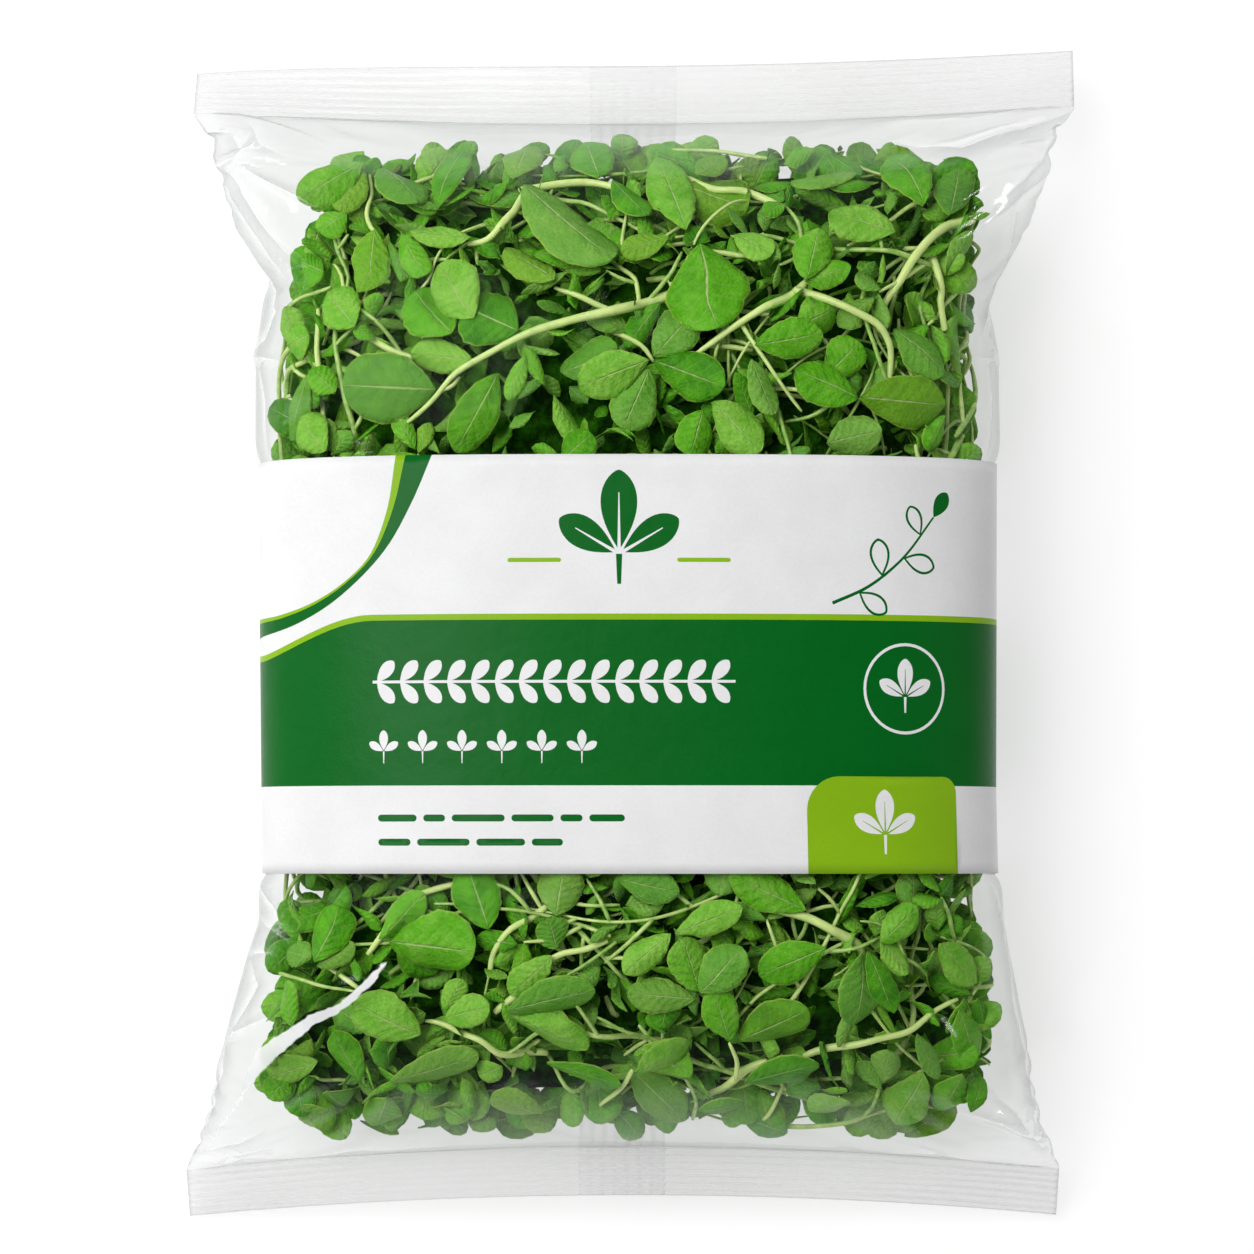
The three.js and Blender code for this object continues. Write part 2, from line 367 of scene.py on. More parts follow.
# Leaflets that can be told apart in the photograph: the pixel of the base, the pixel of the tip, and the
# width in pixels, from the one that lies on top to those under it
TOP_LEAFLETS = [
    (700, 242, 717, 325, 86), (806, 280, 818, 222, 44), (806, 280, 852, 260, 34), (600, 168, 588, 137, 48),
    (862, 397, 951, 405, 54), (523, 180, 614, 252, 78), (883, 945, 921, 905, 32), (872, 955, 893, 1014, 30),
]
SEEN_LEAFLETS = [
    # upper window, left
    (432, 387, 337, 386, 72), (472, 312, 438, 264, 54), (452, 331, 413, 290, 60),
    (516, 327, 462, 300, 68), (496, 372, 452, 450, 46), (354, 327, 322, 288, 46), (362, 153, 295, 194, 44),
    (364, 155, 338, 204, 36), (378, 152, 421, 200, 50), (433, 200, 462, 145, 36), (515, 173, 528, 136, 42),
    (468, 233, 406, 226, 32), (552, 277, 502, 240, 42), (372, 222, 350, 288, 42),
    (318, 268, 290, 262, 38), (346, 208, 313, 230, 30), (400, 232, 420, 274, 34), (524, 352, 505, 398, 20),
    (330, 392, 303, 370, 30), (322, 452, 288, 416, 42), (302, 330, 276, 345, 42), (470, 358, 408, 350, 36),
    (300, 372, 274, 440, 32), (612, 172, 645, 213, 34), (648, 359, 576, 388, 46), (650, 366, 624, 428, 50),
    (562, 458, 594, 432, 36),
    # upper window, right
    (687, 225, 655, 152, 48), (697, 170, 722, 150, 30), (668, 232, 620, 246, 30),
    (856, 170, 789, 168, 38), (757, 174, 790, 166, 22), (926, 198, 887, 142, 50), (957, 208, 960, 160, 46),
    (898, 231, 832, 207, 46), (958, 274, 974, 226, 30),
    (736, 226, 772, 251, 32), (656, 352, 694, 302, 46), (655, 357, 724, 386, 50), (755, 347, 823, 332, 42),
    (862, 397, 797, 366, 48), (832, 374, 864, 336, 44), (712, 402, 760, 450, 44),
    (826, 444, 882, 430, 42), (900, 325, 952, 372, 46), (750, 360, 776, 412, 32), (705, 410, 690, 454, 40),
    (950, 416, 935, 452, 26), (830, 150, 862, 166, 22),
    # lower window, left
    (383, 945, 474, 952, 72), (312, 965, 330, 906, 50), (490, 932, 464, 866, 50), (375, 940, 424, 893, 32),
    (419, 1040, 352, 1003, 50), (388, 1088, 477, 1062, 42), (310, 1076, 246, 1092, 46),
    (285, 1030, 278, 982, 26),
    (302, 958, 274, 950, 28), (310, 968, 350, 950, 28), (360, 1095, 330, 1034, 34), (505, 1015, 593, 990, 50),
    (507, 1018, 588, 1058, 48), (552, 958, 508, 1002, 36), (555, 918, 562, 864, 48), (556, 952, 546, 915, 34),
    (442, 1024, 488, 1010, 36), (385, 1103, 374, 1139, 42), (300, 1112, 322, 1139, 32),
    (545, 1078, 622, 1090, 26),
    (540, 1120, 494, 1100, 36), (445, 1020, 460, 984, 26),
    # lower window, right
    (617, 878, 680, 895, 34), (702, 998, 744, 948, 46), (702, 998, 682, 938, 44), (675, 935, 744, 905, 34),
    (672, 936, 625, 975, 34), (695, 1000, 628, 998, 38), (808, 912, 730, 876, 42), (828, 950, 758, 980, 44),
    (868, 955, 856, 1033, 48), (731, 1047, 712, 992, 38), (738, 1053, 811, 1010, 48),
    (635, 1080, 690, 1046, 44), (745, 1092, 821, 1068, 38), (632, 1090, 686, 1126, 48),
    (930, 1085, 892, 1130, 50),
    (965, 1080, 946, 1125, 38), (966, 1012, 986, 1076, 44), (945, 945, 986, 986, 42),
    (918, 1038, 940, 1086, 22), (700, 1118, 744, 1108, 26), (850, 1105, 812, 1122, 34),
]

# Stems that cross the windows: the thickness at both ends, in millimetres, and the pixels that they pass. The
# first TOP_STEMS lie over all but the leaflets on top.
TOP_STEMS = 6
SEEN_STEMS = [
    (1.0, 2.6, (402, 420), (432, 395), (452, 374), (485, 354), (530, 333), (575, 317), (625, 302), (668, 286),
     (700, 272)),
    (1.2, 2.2, (700, 347), (735, 323), (765, 303), (795, 285), (812, 268)),
    (2.0, 1.3, (798, 285), (830, 297), (860, 312), (884, 322), (893, 345), (896, 398)),
    (1.5, 2.4, (888, 322), (903, 285), (920, 248), (938, 230), (960, 216), (989, 208)),
    (2.0, 1.3, (938, 240), (950, 275), (956, 305), (966, 350)),
    (1.9, 1.6, (517, 176), (555, 169), (590, 167), (626, 176)),
    (2.0, 1.4, (523, 178), (507, 205), (484, 230), (466, 234)),
    (1.6, 1.8, (690, 165), (720, 176), (748, 180), (776, 192)),
    (1.7, 1.0, (352, 326), (385, 346), (412, 356), (440, 360), (470, 358)),
    (1.0, 1.5, (552, 277), (585, 292), (614, 305)),
    (0.9, 1.3, (687, 225), (702, 238), (725, 243), (747, 246)),
    (1.3, 1.0, (600, 322), (622, 329), (646, 344), (654, 358)),
    (1.1, 1.4, (756, 347), (730, 340), (706, 338)),
    (0.8, 1.2, (368, 150), (367, 176), (363, 202), (372, 222)),
    (1.1, 1.5, (303, 300), (303, 340), (306, 372), (322, 392)),
    (0.9, 1.1, (432, 387), (444, 384), (452, 374)),
    (0.9, 1.2, (898, 231), (915, 236), (930, 236)),
    (1.3, 1.5, (362, 958), (376, 934), (395, 905), (420, 891), (452, 882)),
    (1.2, 1.8, (486, 985), (492, 955), (508, 932), (530, 920), (546, 906)),
    (1.9, 1.3, (495, 1022), (520, 996), (545, 968), (562, 957), (582, 951), (606, 944)),
    (1.1, 1.9, (419, 1040), (450, 1042), (478, 1046), (502, 1062), (530, 1076), (545, 1078)),
    (1.5, 2.0, (697, 1119), (724, 1104), (746, 1090), (770, 1080)),
    (1.2, 0.9, (738, 1092), (738, 1072), (732, 1050)),
    (1.5, 2.6, (744, 908), (780, 912), (812, 919), (840, 934), (862, 950), (870, 962)),
    (1.8, 1.1, (806, 1070), (850, 1055), (880, 1046), (912, 1038), (936, 1020), (970, 1006)),
    (1.0, 1.3, (308, 966), (328, 984), (350, 1001)),
    (1.0, 1.2, (600, 1118), (622, 1098), (634, 1080)),
]


# ---------------------------------------------------------------------------
# The leaves: a heap laid from the film inwards, each leaflet pressed against what is already there
# ---------------------------------------------------------------------------

LEAF_THICK = 0.28
EDGE_CLEARANCE = 2.2  # of the level leaflets from the film
LEAST_GAP = 0.15  # between a leaflet and what was laid before it
FULLEST = 0.9  # how much of the room under the film may be taken
SEAL_MARGIN = 2.0  # what the leaves and stems keep from the seal lines, along B
SIDE_MARGIN = 45  # how far from a side edge the heap and the film start to keep further apart
TOP_MARGIN, EDGE_MARGIN = 0.9, 3.5  # how far under the film the heap starts, in the middle and at a side edge
SUNK_LENGTH = 7  # the length of a stem's end that dips under what is round it
STEM_SIDES = 7

# The outline of the heap in plan: [Y, left, right]
HEAP_PLAN = np.array([
    [-112.5, -70, 68],
    [-107, -78, 76],
    [-102, -83, 79],
    [-96, -83, 81],
    [-72, -80.5, 79.5],
    [-58, -78, 77],
    [42, -79.5, 78],
    [64, -79, 76],
    [77, -77, 77.5],
    [86, -75, 79],
    [94, -72, 79],
    [101, -72, 78.5],
    [106, -71, 74],
    [110, -64, 64],
])

# The layers that are laid by chance, from the film inwards: how many sprigs, stalks and single leaflets; the
# size of the leaflets, and their width for each millimetre of length; how steep they lie; the gap between
# them; and how fine their meshes are
LAYERS = [
    (16, 60, 60, 14, (0.5, 0.85), 0.35, 0.35, "middling"),
    (30, 130, 1300, 11, (0.18, 0.45), 0.7, 0.35, "middling"),
    (60, 60, 1100, 11, (0.25, 0.7), 0.6, 0.8, "coarse"),
    (50, 0, 700, 12, (0.3, 0.75), 0.75, 1.5, "coarse"),
]
UNDER_BAND_EDGES = dict(sprigs=12, stalks=10, singles=9)  # how far under the band's edges they may start


def leaf_grid(rows, columns):
    """Shares along a leaflet, closer together at its ends, and across it from -1 to 1."""
    along = (1 - np.cos(np.linspace(0, math.pi, rows))) / 2
    return np.meshgrid(along, np.linspace(-1, 1, columns), indexing="ij")


def leaf_faces(rows, columns):
    """Quads of a thin closed leaf: its face, its back in the opposite order, and the rim between them."""
    index = np.arange(rows * columns).reshape(rows, columns)
    a, b, c, d = index[:-1, :-1], index[1:, :-1], index[1:, 1:], index[:-1, 1:]
    face = np.stack([a, b, c, d], axis=-1).reshape(-1, 4)
    back = face[:, ::-1] + rows * columns
    border = np.concatenate([index[0, :-1], index[:-1, -1], index[-1, :0:-1], index[:0:-1, 0]])
    following = np.roll(border, -1)
    rim = np.stack([border, following, following + rows * columns, border + rows * columns], axis=-1)
    return np.concatenate([face, back]), rim


GRIDS = {name: (leaf_grid(*size), leaf_faces(*size)) for name, size in
         dict(fine=(17, 9), middling=(9, 5), coarse=(6, 5)).items()}


class Heap:
    """The leaves in the bag. `used` is the depth under the film, in millimetres, up to which each place is
    taken."""

    def __init__(self, seed):
        self.random = random.Random(seed)
        rows, columns = CHART.points.shape[:2]
        margin = mix(TOP_MARGIN, EDGE_MARGIN, ease(1 - from_side(np.arange(columns)) / SIDE_MARGIN))
        self.used = np.tile(margin, (rows, 1)).astype(float)
        self.leaflets = []
        self.stems = []

    # -- the depth field --

    def cells(self, a, b):
        """The cells of the depth field that places are in."""
        row = (b + CHART.length / 2) / CHART.length * (self.used.shape[0] - 1)
        return np.clip(np.rint(row).astype(int), 0, self.used.shape[0] - 1), np.rint(a).astype(int) % GIRTH

    def taken(self, a, b):
        """The depth up to which places are taken."""
        return self.used[self.cells(a, b)]

    def take(self, a, b, depth):
        """Notes that places are taken up to a depth."""
        np.maximum.at(self.used, self.cells(a, b), depth)

    @staticmethod
    def finer(grid, times):
        """A grid of values with more rows and columns between its own."""
        rows, columns = grid.shape
        i = np.linspace(0, rows - 1, (rows - 1) * times + 1)
        j = np.linspace(0, columns - 1, (columns - 1) * times + 1)
        i0, j0 = np.minimum(i.astype(int), rows - 2), np.minimum(j.astype(int), columns - 2)
        u, v = (i - i0)[:, None], (j - j0)[None]
        near, far = grid[i0], grid[i0 + 1]
        return mix(mix(near[:, j0], near[:, j0 + 1], v), mix(far[:, j0], far[:, j0 + 1], v), u)

    def form(self, grid, length, width, roll, pitch, fold, curl, twist, blunt):
        """A leaflet before it is laid: its points across it, along it, and how far each lies down."""
        (along, over), _ = GRIDS[grid]
        rise, fall = mix(1.05, 0.72, blunt), mix(0.8, 0.45, blunt)
        peak = rise / (rise + fall)
        outline = power(along, rise) * power(1 - along, fall) / (peak**rise * (1 - peak) ** fall)
        wave = self.random.uniform(0, 6)
        uneven = (1 + 0.05 * np.sin(along * 9 + wave + 2 * np.sign(over))
                  + 0.035 * np.sin(along * 37 + 3 * wave))
        half = np.maximum(width / 2 * outline * uneven, 0.12)
        x = over * half
        y = along * length
        relief = fold * np.abs(x) + curl * length * (along - 0.5) ** 2
        relief = relief + 0.035 * width * np.sin(wave + along * 7) * over * np.abs(over)
        turn = roll + twist * (along - 0.5)
        relief, x = relief * np.cos(turn) + x * np.sin(turn), x * np.cos(turn) - relief * np.sin(turn)
        relief, y = relief + (y - y.mean()) * math.sin(pitch), y * math.cos(pitch)
        return x, y, relief

    def note(self, grid, points, inward, base, flipped):
        """Keeps a leaflet that has been laid. base is its place in the chart."""
        (along, over), _ = GRIDS[grid]
        self.leaflets.append(dict(
            grid=grid, face=points.reshape(-1, 3), back=(points + inward * LEAF_THICK).reshape(-1, 3),
            map=np.stack([over * 0.5 + 0.5, along], axis=-1).reshape(-1, 2),
            pale=np.full(along.size, 1.0 if flipped else 0.0), tint=self.random.random(),
            age=self.random.random(), a=base[0] % GIRTH, b=base[1]))

    def leaflet(self, base, heading, length, width, gap, grid, flipped, press=0.85, must=False, **form):
        """Lays one leaflet. base is where its stalk meets it, heading its direction in the chart, in radians,
        and press the share of it that clears what it lies on before it bends. It returns the depth of its
        base, or None where the bag has no room for it, unless it must be laid."""
        x, y, relief = self.form(grid, length, width, **form)
        a = base[0] + y * math.cos(heading) - x * math.sin(heading)
        b = base[1] + y * math.sin(heading) + x * math.cos(heading)
        if np.abs(b).max() > CHART.length / 2 - SEAL_MARGIN:
            return None
        taken = self.taken(a, b)
        offset = np.quantile(taken + gap - relief, press)
        depth = np.maximum(offset + relief, taken + 0.4 * gap)
        soft = depth.copy()
        soft[1:-1, 1:-1] = (depth[:-2, 1:-1] + depth[2:, 1:-1] + depth[1:-1, :-2] + depth[1:-1, 2:]
                            + 2 * depth[1:-1, 1:-1]) / 6
        depth = np.maximum(soft, taken + LEAST_GAP)
        room = CHART.read(CHART.room, a, b)[..., 0]
        if not must and (depth > FULLEST * room).any():
            return None
        depth = np.minimum(depth, np.maximum(0.95 * room, 0.5))
        points = CHART.at(a, b, depth)
        normals = CHART.read(CHART.normals, a, b)
        if not must and not self.inside(points, self.spare(normals)):
            return None
        self.take(self.finer(a, 4), self.finer(b, 4), self.finer(depth, 4) + LEAF_THICK + 0.1)
        self.note(grid, points, -normals, base, flipped)
        return float(depth[0].mean())

    def spare(self, normals):
        """How far a leaflet may stick out of the heap's outline: not at all where it is seen edge on."""
        return min(self.random.gauss(-0.5, 1.5), 1.0) - (3.5 if np.abs(normals[..., 2]).mean() < 0.75 else 0)

    def level_leaf(self, tip, heading, length, width, height, **form):
        """Lays a leaflet level inside the edge of the heap, where others stand on edge along the film. height
        is its share of the way from the back of the pouch to the front."""
        x, y, relief = self.form("middling", length, width, **form)
        px = tip[0] + (y - length) * math.cos(heading) - x * math.sin(heading)
        py = tip[1] + (y - length) * math.sin(heading) + x * math.cos(heading)
        back, front = pouch_heights(px, py)
        if (front - back < 2 * EDGE_CLEARANCE + 1).any():
            return
        z = float(mix(back, front, height).mean()) - relief
        points = np.stack([px, py, np.clip(z, back + EDGE_CLEARANCE, front - EDGE_CLEARANCE)], axis=-1)
        if self.inside(points, 1.5):
            base = CHART.find(float(px.mean()), float(py.mean()))
            self.note("middling", points, np.array([0, 0, -1.0]), base, False)

    def rim(self):
        """Leaflets that point out of the heap all round it, in the windows above and below the band."""
        pick = self.random
        spots = []
        for side, out in ((0, math.pi), (1, 0.0)):
            for y in np.concatenate([np.arange(-104, BAND_BOTTOM, 5.0), np.arange(BAND_TOP + 4, 104, 5.0)]):
                x = float(between_rows(HEAP_PLAN, y)[side])
                spots += [(x, float(y), out, level) for level in (0.25, 0.5, 0.75)]
        for (y, left, right), out in ((HEAP_PLAN[0], -math.pi / 2), (HEAP_PLAN[-1], math.pi / 2)):
            for x in np.arange(left - 4, right + 4, 5.5):
                spots += [(float(x), float(y), out, level) for level in (0.35, 0.65)]
        for x, y, out, level in spots:
            back = pick.uniform(-1.0, 5.0)
            tip = (x - back * math.cos(out) + pick.gauss(0, 1), y - back * math.sin(out) + pick.gauss(0, 1))
            length = pick.uniform(8, 14)
            self.level_leaf(tip, out + pick.gauss(0, 0.7), length, length * pick.uniform(0.5, 0.85),
                            level + pick.uniform(-0.12, 0.12), roll=pick.gauss(0, 0.3),
                            pitch=pick.gauss(0, 0.25), fold=pick.uniform(0.05, 0.35),
                            curl=pick.uniform(-0.3, 0.4), twist=pick.gauss(0, 0.3),
                            blunt=pick.uniform(0.4, 1))

    @staticmethod
    def inside(points, spare=0.0):
        """Whether points lie within the outline of the heap, in plan, or at most a spare distance outside."""
        x, y = points[..., 0], points[..., 1]
        left, right = between_rows(HEAP_PLAN, y)
        return bool(((x > left - spare) & (x < right + spare)
                     & (y > HEAP_PLAN[0, 0] - spare) & (y < HEAP_PLAN[-1, 0] + spare)).all())

    def stem(self, path, thick, end_thick, gap, ends=(None, None), must=False, loose=4, sink=0.0):
        """Lays a stem along a path in the chart. ends are depths that its ends have to meet, and sink is how
        far its ends dip under what is round them. The stems that the photograph shows are the palest."""
        path = np.asarray(path, float)
        run = run_along(path)
        count = max(6, int(run[-1] / 1.6) + 1)
        t = np.linspace(0, run[-1], count)
        a, b = self.curved(run, path[:, 0], t), self.curved(run, path[:, 1], t)
        if np.abs(b).max() > CHART.length / 2 - SEAL_MARGIN:
            return None
        wave = self.random.uniform(0, 6)
        from_end = np.minimum(t, t[-1] - t)
        radius = mix(thick, end_thick, np.linspace(0, 1, count)) / 2
        radius = radius * (1 + 0.05 * np.sin(t * 0.35 + wave)) * mix(0.7, 1, ease(from_end / 2.5))
        depth = self.taken(a, b) + gap + sink * ease(1 - from_end / SUNK_LENGTH)
        for _ in range(loose):
            depth = np.maximum(depth, np.maximum(np.roll(depth, 1), np.roll(depth, -1)))
        for end, at in zip(ends, (0, -1)):
            if end is not None:
                depth = mix(depth, end - radius[at], ease(1 - np.abs(t - t[at]) / 9))
        for _ in range(6):
            depth[1:-1] = (depth[:-2] + depth[2:] + 2 * depth[1:-1]) / 4
        depth = depth + radius
        room = CHART.read(CHART.room, a, b)[..., 0]
        if not must and (depth > FULLEST * room).any():
            return None
        depth = np.minimum(depth, np.maximum(0.92 * room, 0.6))
        points = CHART.at(a, b, depth)
        if not must and not self.inside(points):
            return None
        direction = unit(np.gradient(np.stack([a, b], axis=-1), axis=0))
        taking = (from_end > 5) | (sink == 0)  # what is laid later may cover its sunken ends
        for side in (-0.7, 0, 0.7):
            beside_a, beside_b = a - direction[:, 1] * side * radius, b + direction[:, 0] * side * radius
            self.take(beside_a[taking], beside_b[taking], (depth + radius)[taking])
        self.stems.append(dict(points=points, radius=radius, up=CHART.read(CHART.normals, a, b),
                               tint=self.random.uniform(0.5, 1) if must else self.random.uniform(0, 0.6)))
        return depth

    @staticmethod
    def curved(run, values, t):
        """Values along a smooth curve through the given ones (Catmull-Rom)."""
        slope = np.gradient(values, run)
        i = np.clip(np.searchsorted(run, t, side="right") - 1, 0, len(run) - 2)
        h = run[i + 1] - run[i]
        s = (t - run[i]) / h
        return ((2 * s**3 - 3 * s**2 + 1) * values[i] + (s**3 - 2 * s**2 + s) * h * slope[i]
                + (-2 * s**3 + 3 * s**2) * values[i + 1] + (s**3 - s**2) * h * slope[i + 1])

    # -- sprigs --

    def trifoliate(self, base, heading, size, grid, gap, slope, flipped=False):
        """Three leaflets on one stalk. It returns the depth of their shared base, or None."""
        pick = self.random
        found = []
        for turn, share in ((0.0, 1.0), (pick.uniform(0.9, 1.5), 0.86), (-pick.uniform(0.9, 1.5), 0.86)):
            way = heading + turn + pick.gauss(0, 0.12)
            start = step_from(base, way, 1.4 if turn == 0 else 0.2)
            length = size * share * pick.uniform(0.85, 1.1)
            found.append(self.leaflet(
                start, way, length, length * pick.uniform(0.42, 0.82), roll=pick.gauss(0, slope),
                pitch=pick.gauss(0, slope * 0.7), fold=pick.uniform(0.05, 0.5), curl=pick.uniform(-0.3, 0.3),
                twist=pick.gauss(0, slope), gap=gap * pick.uniform(0.6, 1.6), grid=grid, blunt=pick.random(),
                flipped=flipped, press=pick.uniform(0.7, 0.95)))
        found = [d for d in found if d is not None]
        return float(np.mean(found)) if found else None

    def sprig(self, start, heading, length, size, thick, grid, gap, slope):
        """A main stem with stalks to both sides in turn, each with three leaflets."""
        pick = self.random
        bend = pick.uniform(-0.012, 0.012)
        steps = max(4, int(length / 6))
        path, way = [start], heading
        for _ in range(steps):
            way += bend * length / steps + pick.gauss(0, 0.05)
            path.append(step_from(path[-1], way, length / steps))
        laid = self.stem(path, thick, thick * 0.55, gap, sink=1.5)
        if laid is None:
            return
        run = pick.uniform(4, 9)
        side = pick.choice((-1, 1))
        while run < length:
            share = run / length
            i = min(int(share * steps), steps - 1)
            a = mix(path[i][0], path[i + 1][0], share * steps - i)
            b = mix(path[i][1], path[i + 1][1], share * steps - i)
            forward = math.atan2(path[i + 1][1] - path[i][1], path[i + 1][0] - path[i][0])
            way = forward + side * pick.uniform(0.5, 1.1)
            reach = pick.uniform(8, 20) * mix(1, 0.6, share)
            turn = side * pick.uniform(-0.3, 0.5)
            middle = step_from((a, b), way, reach * 0.5)
            tip = step_from(middle, way - turn, reach * 0.5)
            leaf_size = size * mix(1, 0.65, share) * pick.uniform(0.8, 1.15)
            deep = self.trifoliate(tip, way - turn, leaf_size, grid, gap, slope, flipped=pick.random() < 0.25)
            if deep is not None:
                stem_deep = float(np.interp(share, np.linspace(0, 1, len(laid)), laid))
                self.stem([(a, b), middle, tip], 1.1, 0.8, 0.1, ends=(stem_deep, deep + 0.3), loose=1)
            run += pick.uniform(7, 14)
            side = -side
        self.trifoliate(path[-1], way, size * 0.6, grid, gap, slope)

    def hand_laid(self):
        """The leaflets and stems that the photograph shows one by one."""
        for leaflets, stems, sink in ((TOP_LEAFLETS, SEEN_STEMS[:TOP_STEMS], 2.2),
                                      (SEEN_LEAFLETS, SEEN_STEMS[TOP_STEMS:], 1.8)):
            for leaf in leaflets:
                self.seen_leaflet(*leaf)
            for start, end, *pixels in stems:
                self.stem([seen(*p) for p in pixels], start, end, 0.1, must=True, sink=sink)

    def seen_leaflet(self, x0, y0, x1, y1, width):
        """Lays a leaflet from the pixel of its base to that of its tip, with its width in pixels."""
        pick = self.random
        base, tip = np.array(seen(x0, y0)), np.array(seen(x1, y1))
        step = tip - base
        length = float(np.hypot(*step))
        self.leaflet(base, math.atan2(step[1], step[0]), length, width * MM_PER_PIXEL * 0.98,
                     roll=pick.gauss(0, 0.2), pitch=pick.gauss(0, 0.1), fold=pick.uniform(0.1, 0.42),
                     curl=pick.uniform(-0.15, 0.3), twist=pick.gauss(0, 0.25), gap=0.3, grid="fine",
                     blunt=min(1, width * MM_PER_PIXEL / length + pick.uniform(-0.1, 0.15)),
                     flipped=pick.random() < 0.2, must=True)

    def in_windows(self, spare):
        """A place outside the band, or up to `spare` millimetres under its edges."""
        while True:
            a = self.random.uniform(-BACK_MIDDLE, BACK_MIDDLE)
            b = self.random.uniform(-CHART.length / 2, CHART.length / 2)
            y = float(CHART.at(a, b)[1])
            if y > BAND_TOP - spare or y < BAND_BOTTOM + spare:
                return a, b

    def fill(self):
        """Sprigs and single leaflets by chance, smaller and steeper the deeper they lie."""
        pick = self.random
        for sprigs, stalks, singles, size, widths, slope, gap, grid in LAYERS:
            for _ in range(sprigs):
                start = self.in_windows(UNDER_BAND_EDGES["sprigs"])
                self.sprig(start, pick.uniform(0, 2 * math.pi), pick.uniform(35, 90), size,
                           pick.uniform(0.9, 1.7), grid, gap, slope)
            for _ in range(stalks):
                self.stalk(self.in_windows(UNDER_BAND_EDGES["stalks"]), gap)
            for _ in range(singles):
                base = self.in_windows(UNDER_BAND_EDGES["singles"])
                length = size * pick.uniform(0.5, 1.25)
                self.leaflet(base, pick.uniform(0, 2 * math.pi), length, length * pick.uniform(*widths),
                             roll=pick.gauss(0, slope), pitch=pick.gauss(0, slope * 0.7),
                             fold=pick.uniform(0.05, 0.8), curl=pick.uniform(-0.6, 0.6),
                             twist=pick.gauss(0, 1.3 * slope), gap=gap * pick.random() * 2, grid=grid,
                             blunt=pick.uniform(0, 0.8), flipped=pick.random() < 0.35,
                             press=pick.uniform(0.6, 0.95))

    def stalk(self, start, gap):
        """A thin curved stalk by itself."""
        pick = self.random
        way, length = pick.uniform(0, 2 * math.pi), pick.uniform(14, 38)
        bend = pick.gauss(0, 0.25)
        path = [start]
        for _ in range(3):
            path.append(step_from(path[-1], way, length / 3))
            way += bend
        thick = pick.uniform(0.7, 1.3)
        self.stem(path, thick, thick * 0.7, gap, sink=1.0)


def leaf_meshes(heap):
    """The leaflets as four meshes, above and below the band on the front and on the back."""
    groups = {}
    for leaf in heap.leaflets:
        front = leaf["a"] < RIGHT_SIDE or leaf["a"] >= LEFT_SIDE
        where = ("front" if front else "back") + ("_upper" if leaf["b"] > 0 else "_lower")
        groups.setdefault(where, []).append(leaf)
    return [leaf_mesh("leaflets_" + where, leaves) for where, leaves in sorted(groups.items())]


def leaf_mesh(name, leaves):
    """One mesh of many leaflets, with what their material reads: a map, and each leaflet's own values."""
    points, quads, flat, maps, tints, pales, ages = [], [], [], [], [], [], []
    count = 0
    for leaf in leaves:
        _, (sides, rim) = GRIDS[leaf["grid"]]
        size = len(leaf["face"])
        points += [leaf["face"], leaf["back"]]
        quads += [sides + count, rim + count]
        flat += [np.zeros(len(sides), bool), np.ones(len(rim), bool)]
        maps += [leaf["map"], leaf["map"]]
        pales += [leaf["pale"], 1 - leaf["pale"]]
        tints += [np.full(2 * size, leaf["tint"])]
        ages += [np.full(2 * size, leaf["age"])]
        count += 2 * size
    piece = quad_mesh(name, np.concatenate(points), np.concatenate(quads), ~np.concatenate(flat))
    corners = np.concatenate(quads).reshape(-1)
    layer = piece.data.uv_layers.new(name="leaf_map")
    layer.uv.foreach_set("vector", np.concatenate(maps)[corners].astype(np.float32).reshape(-1))
    for key, values in (("tint", tints), ("pale", pales), ("age", ages)):
        write_values(piece, key, np.concatenate(values))
    return piece


def stem_mesh(name, stems):
    """Tubes along the stems, closed by a short cone at each end."""
    points, quads, tints = [], [], []
    count = 0
    turn = np.linspace(0, 2 * math.pi, STEM_SIDES, endpoint=False)
    for stem in stems:
        line = stem["points"]
        ahead = unit(np.gradient(line, axis=0))
        beside = unit(np.cross(ahead, stem["up"]))
        above = np.cross(beside, ahead)
        around = beside[:, None] * np.cos(turn)[:, None] + above[:, None] * np.sin(turn)[:, None]
        rings = line[:, None] + stem["radius"][:, None, None] * around
        ends = [line[0] + (rings[0] - line[0]) * 0.25 - ahead[0] * stem["radius"][0] * 0.3,
                line[-1] + (rings[-1] - line[-1]) * 0.25 + ahead[-1] * stem["radius"][-1] * 0.3]
        rings = np.concatenate([ends[0][None], rings, ends[1][None]])
        quads.append(ring_quads(len(rings), STEM_SIDES)[:, [0, 3, 2, 1]] + count)
        points.append(rings.reshape(-1, 3))
        tints.append(np.full(len(points[-1]), stem["tint"]))
        count += len(points[-1])
    piece = quad_mesh(name, np.concatenate(points), np.concatenate(quads))
    write_values(piece, "tint", np.concatenate(tints))
    cap_holes(piece)
    return piece


# ---------------------------------------------------------------------------
# Node helpers and materials
# ---------------------------------------------------------------------------


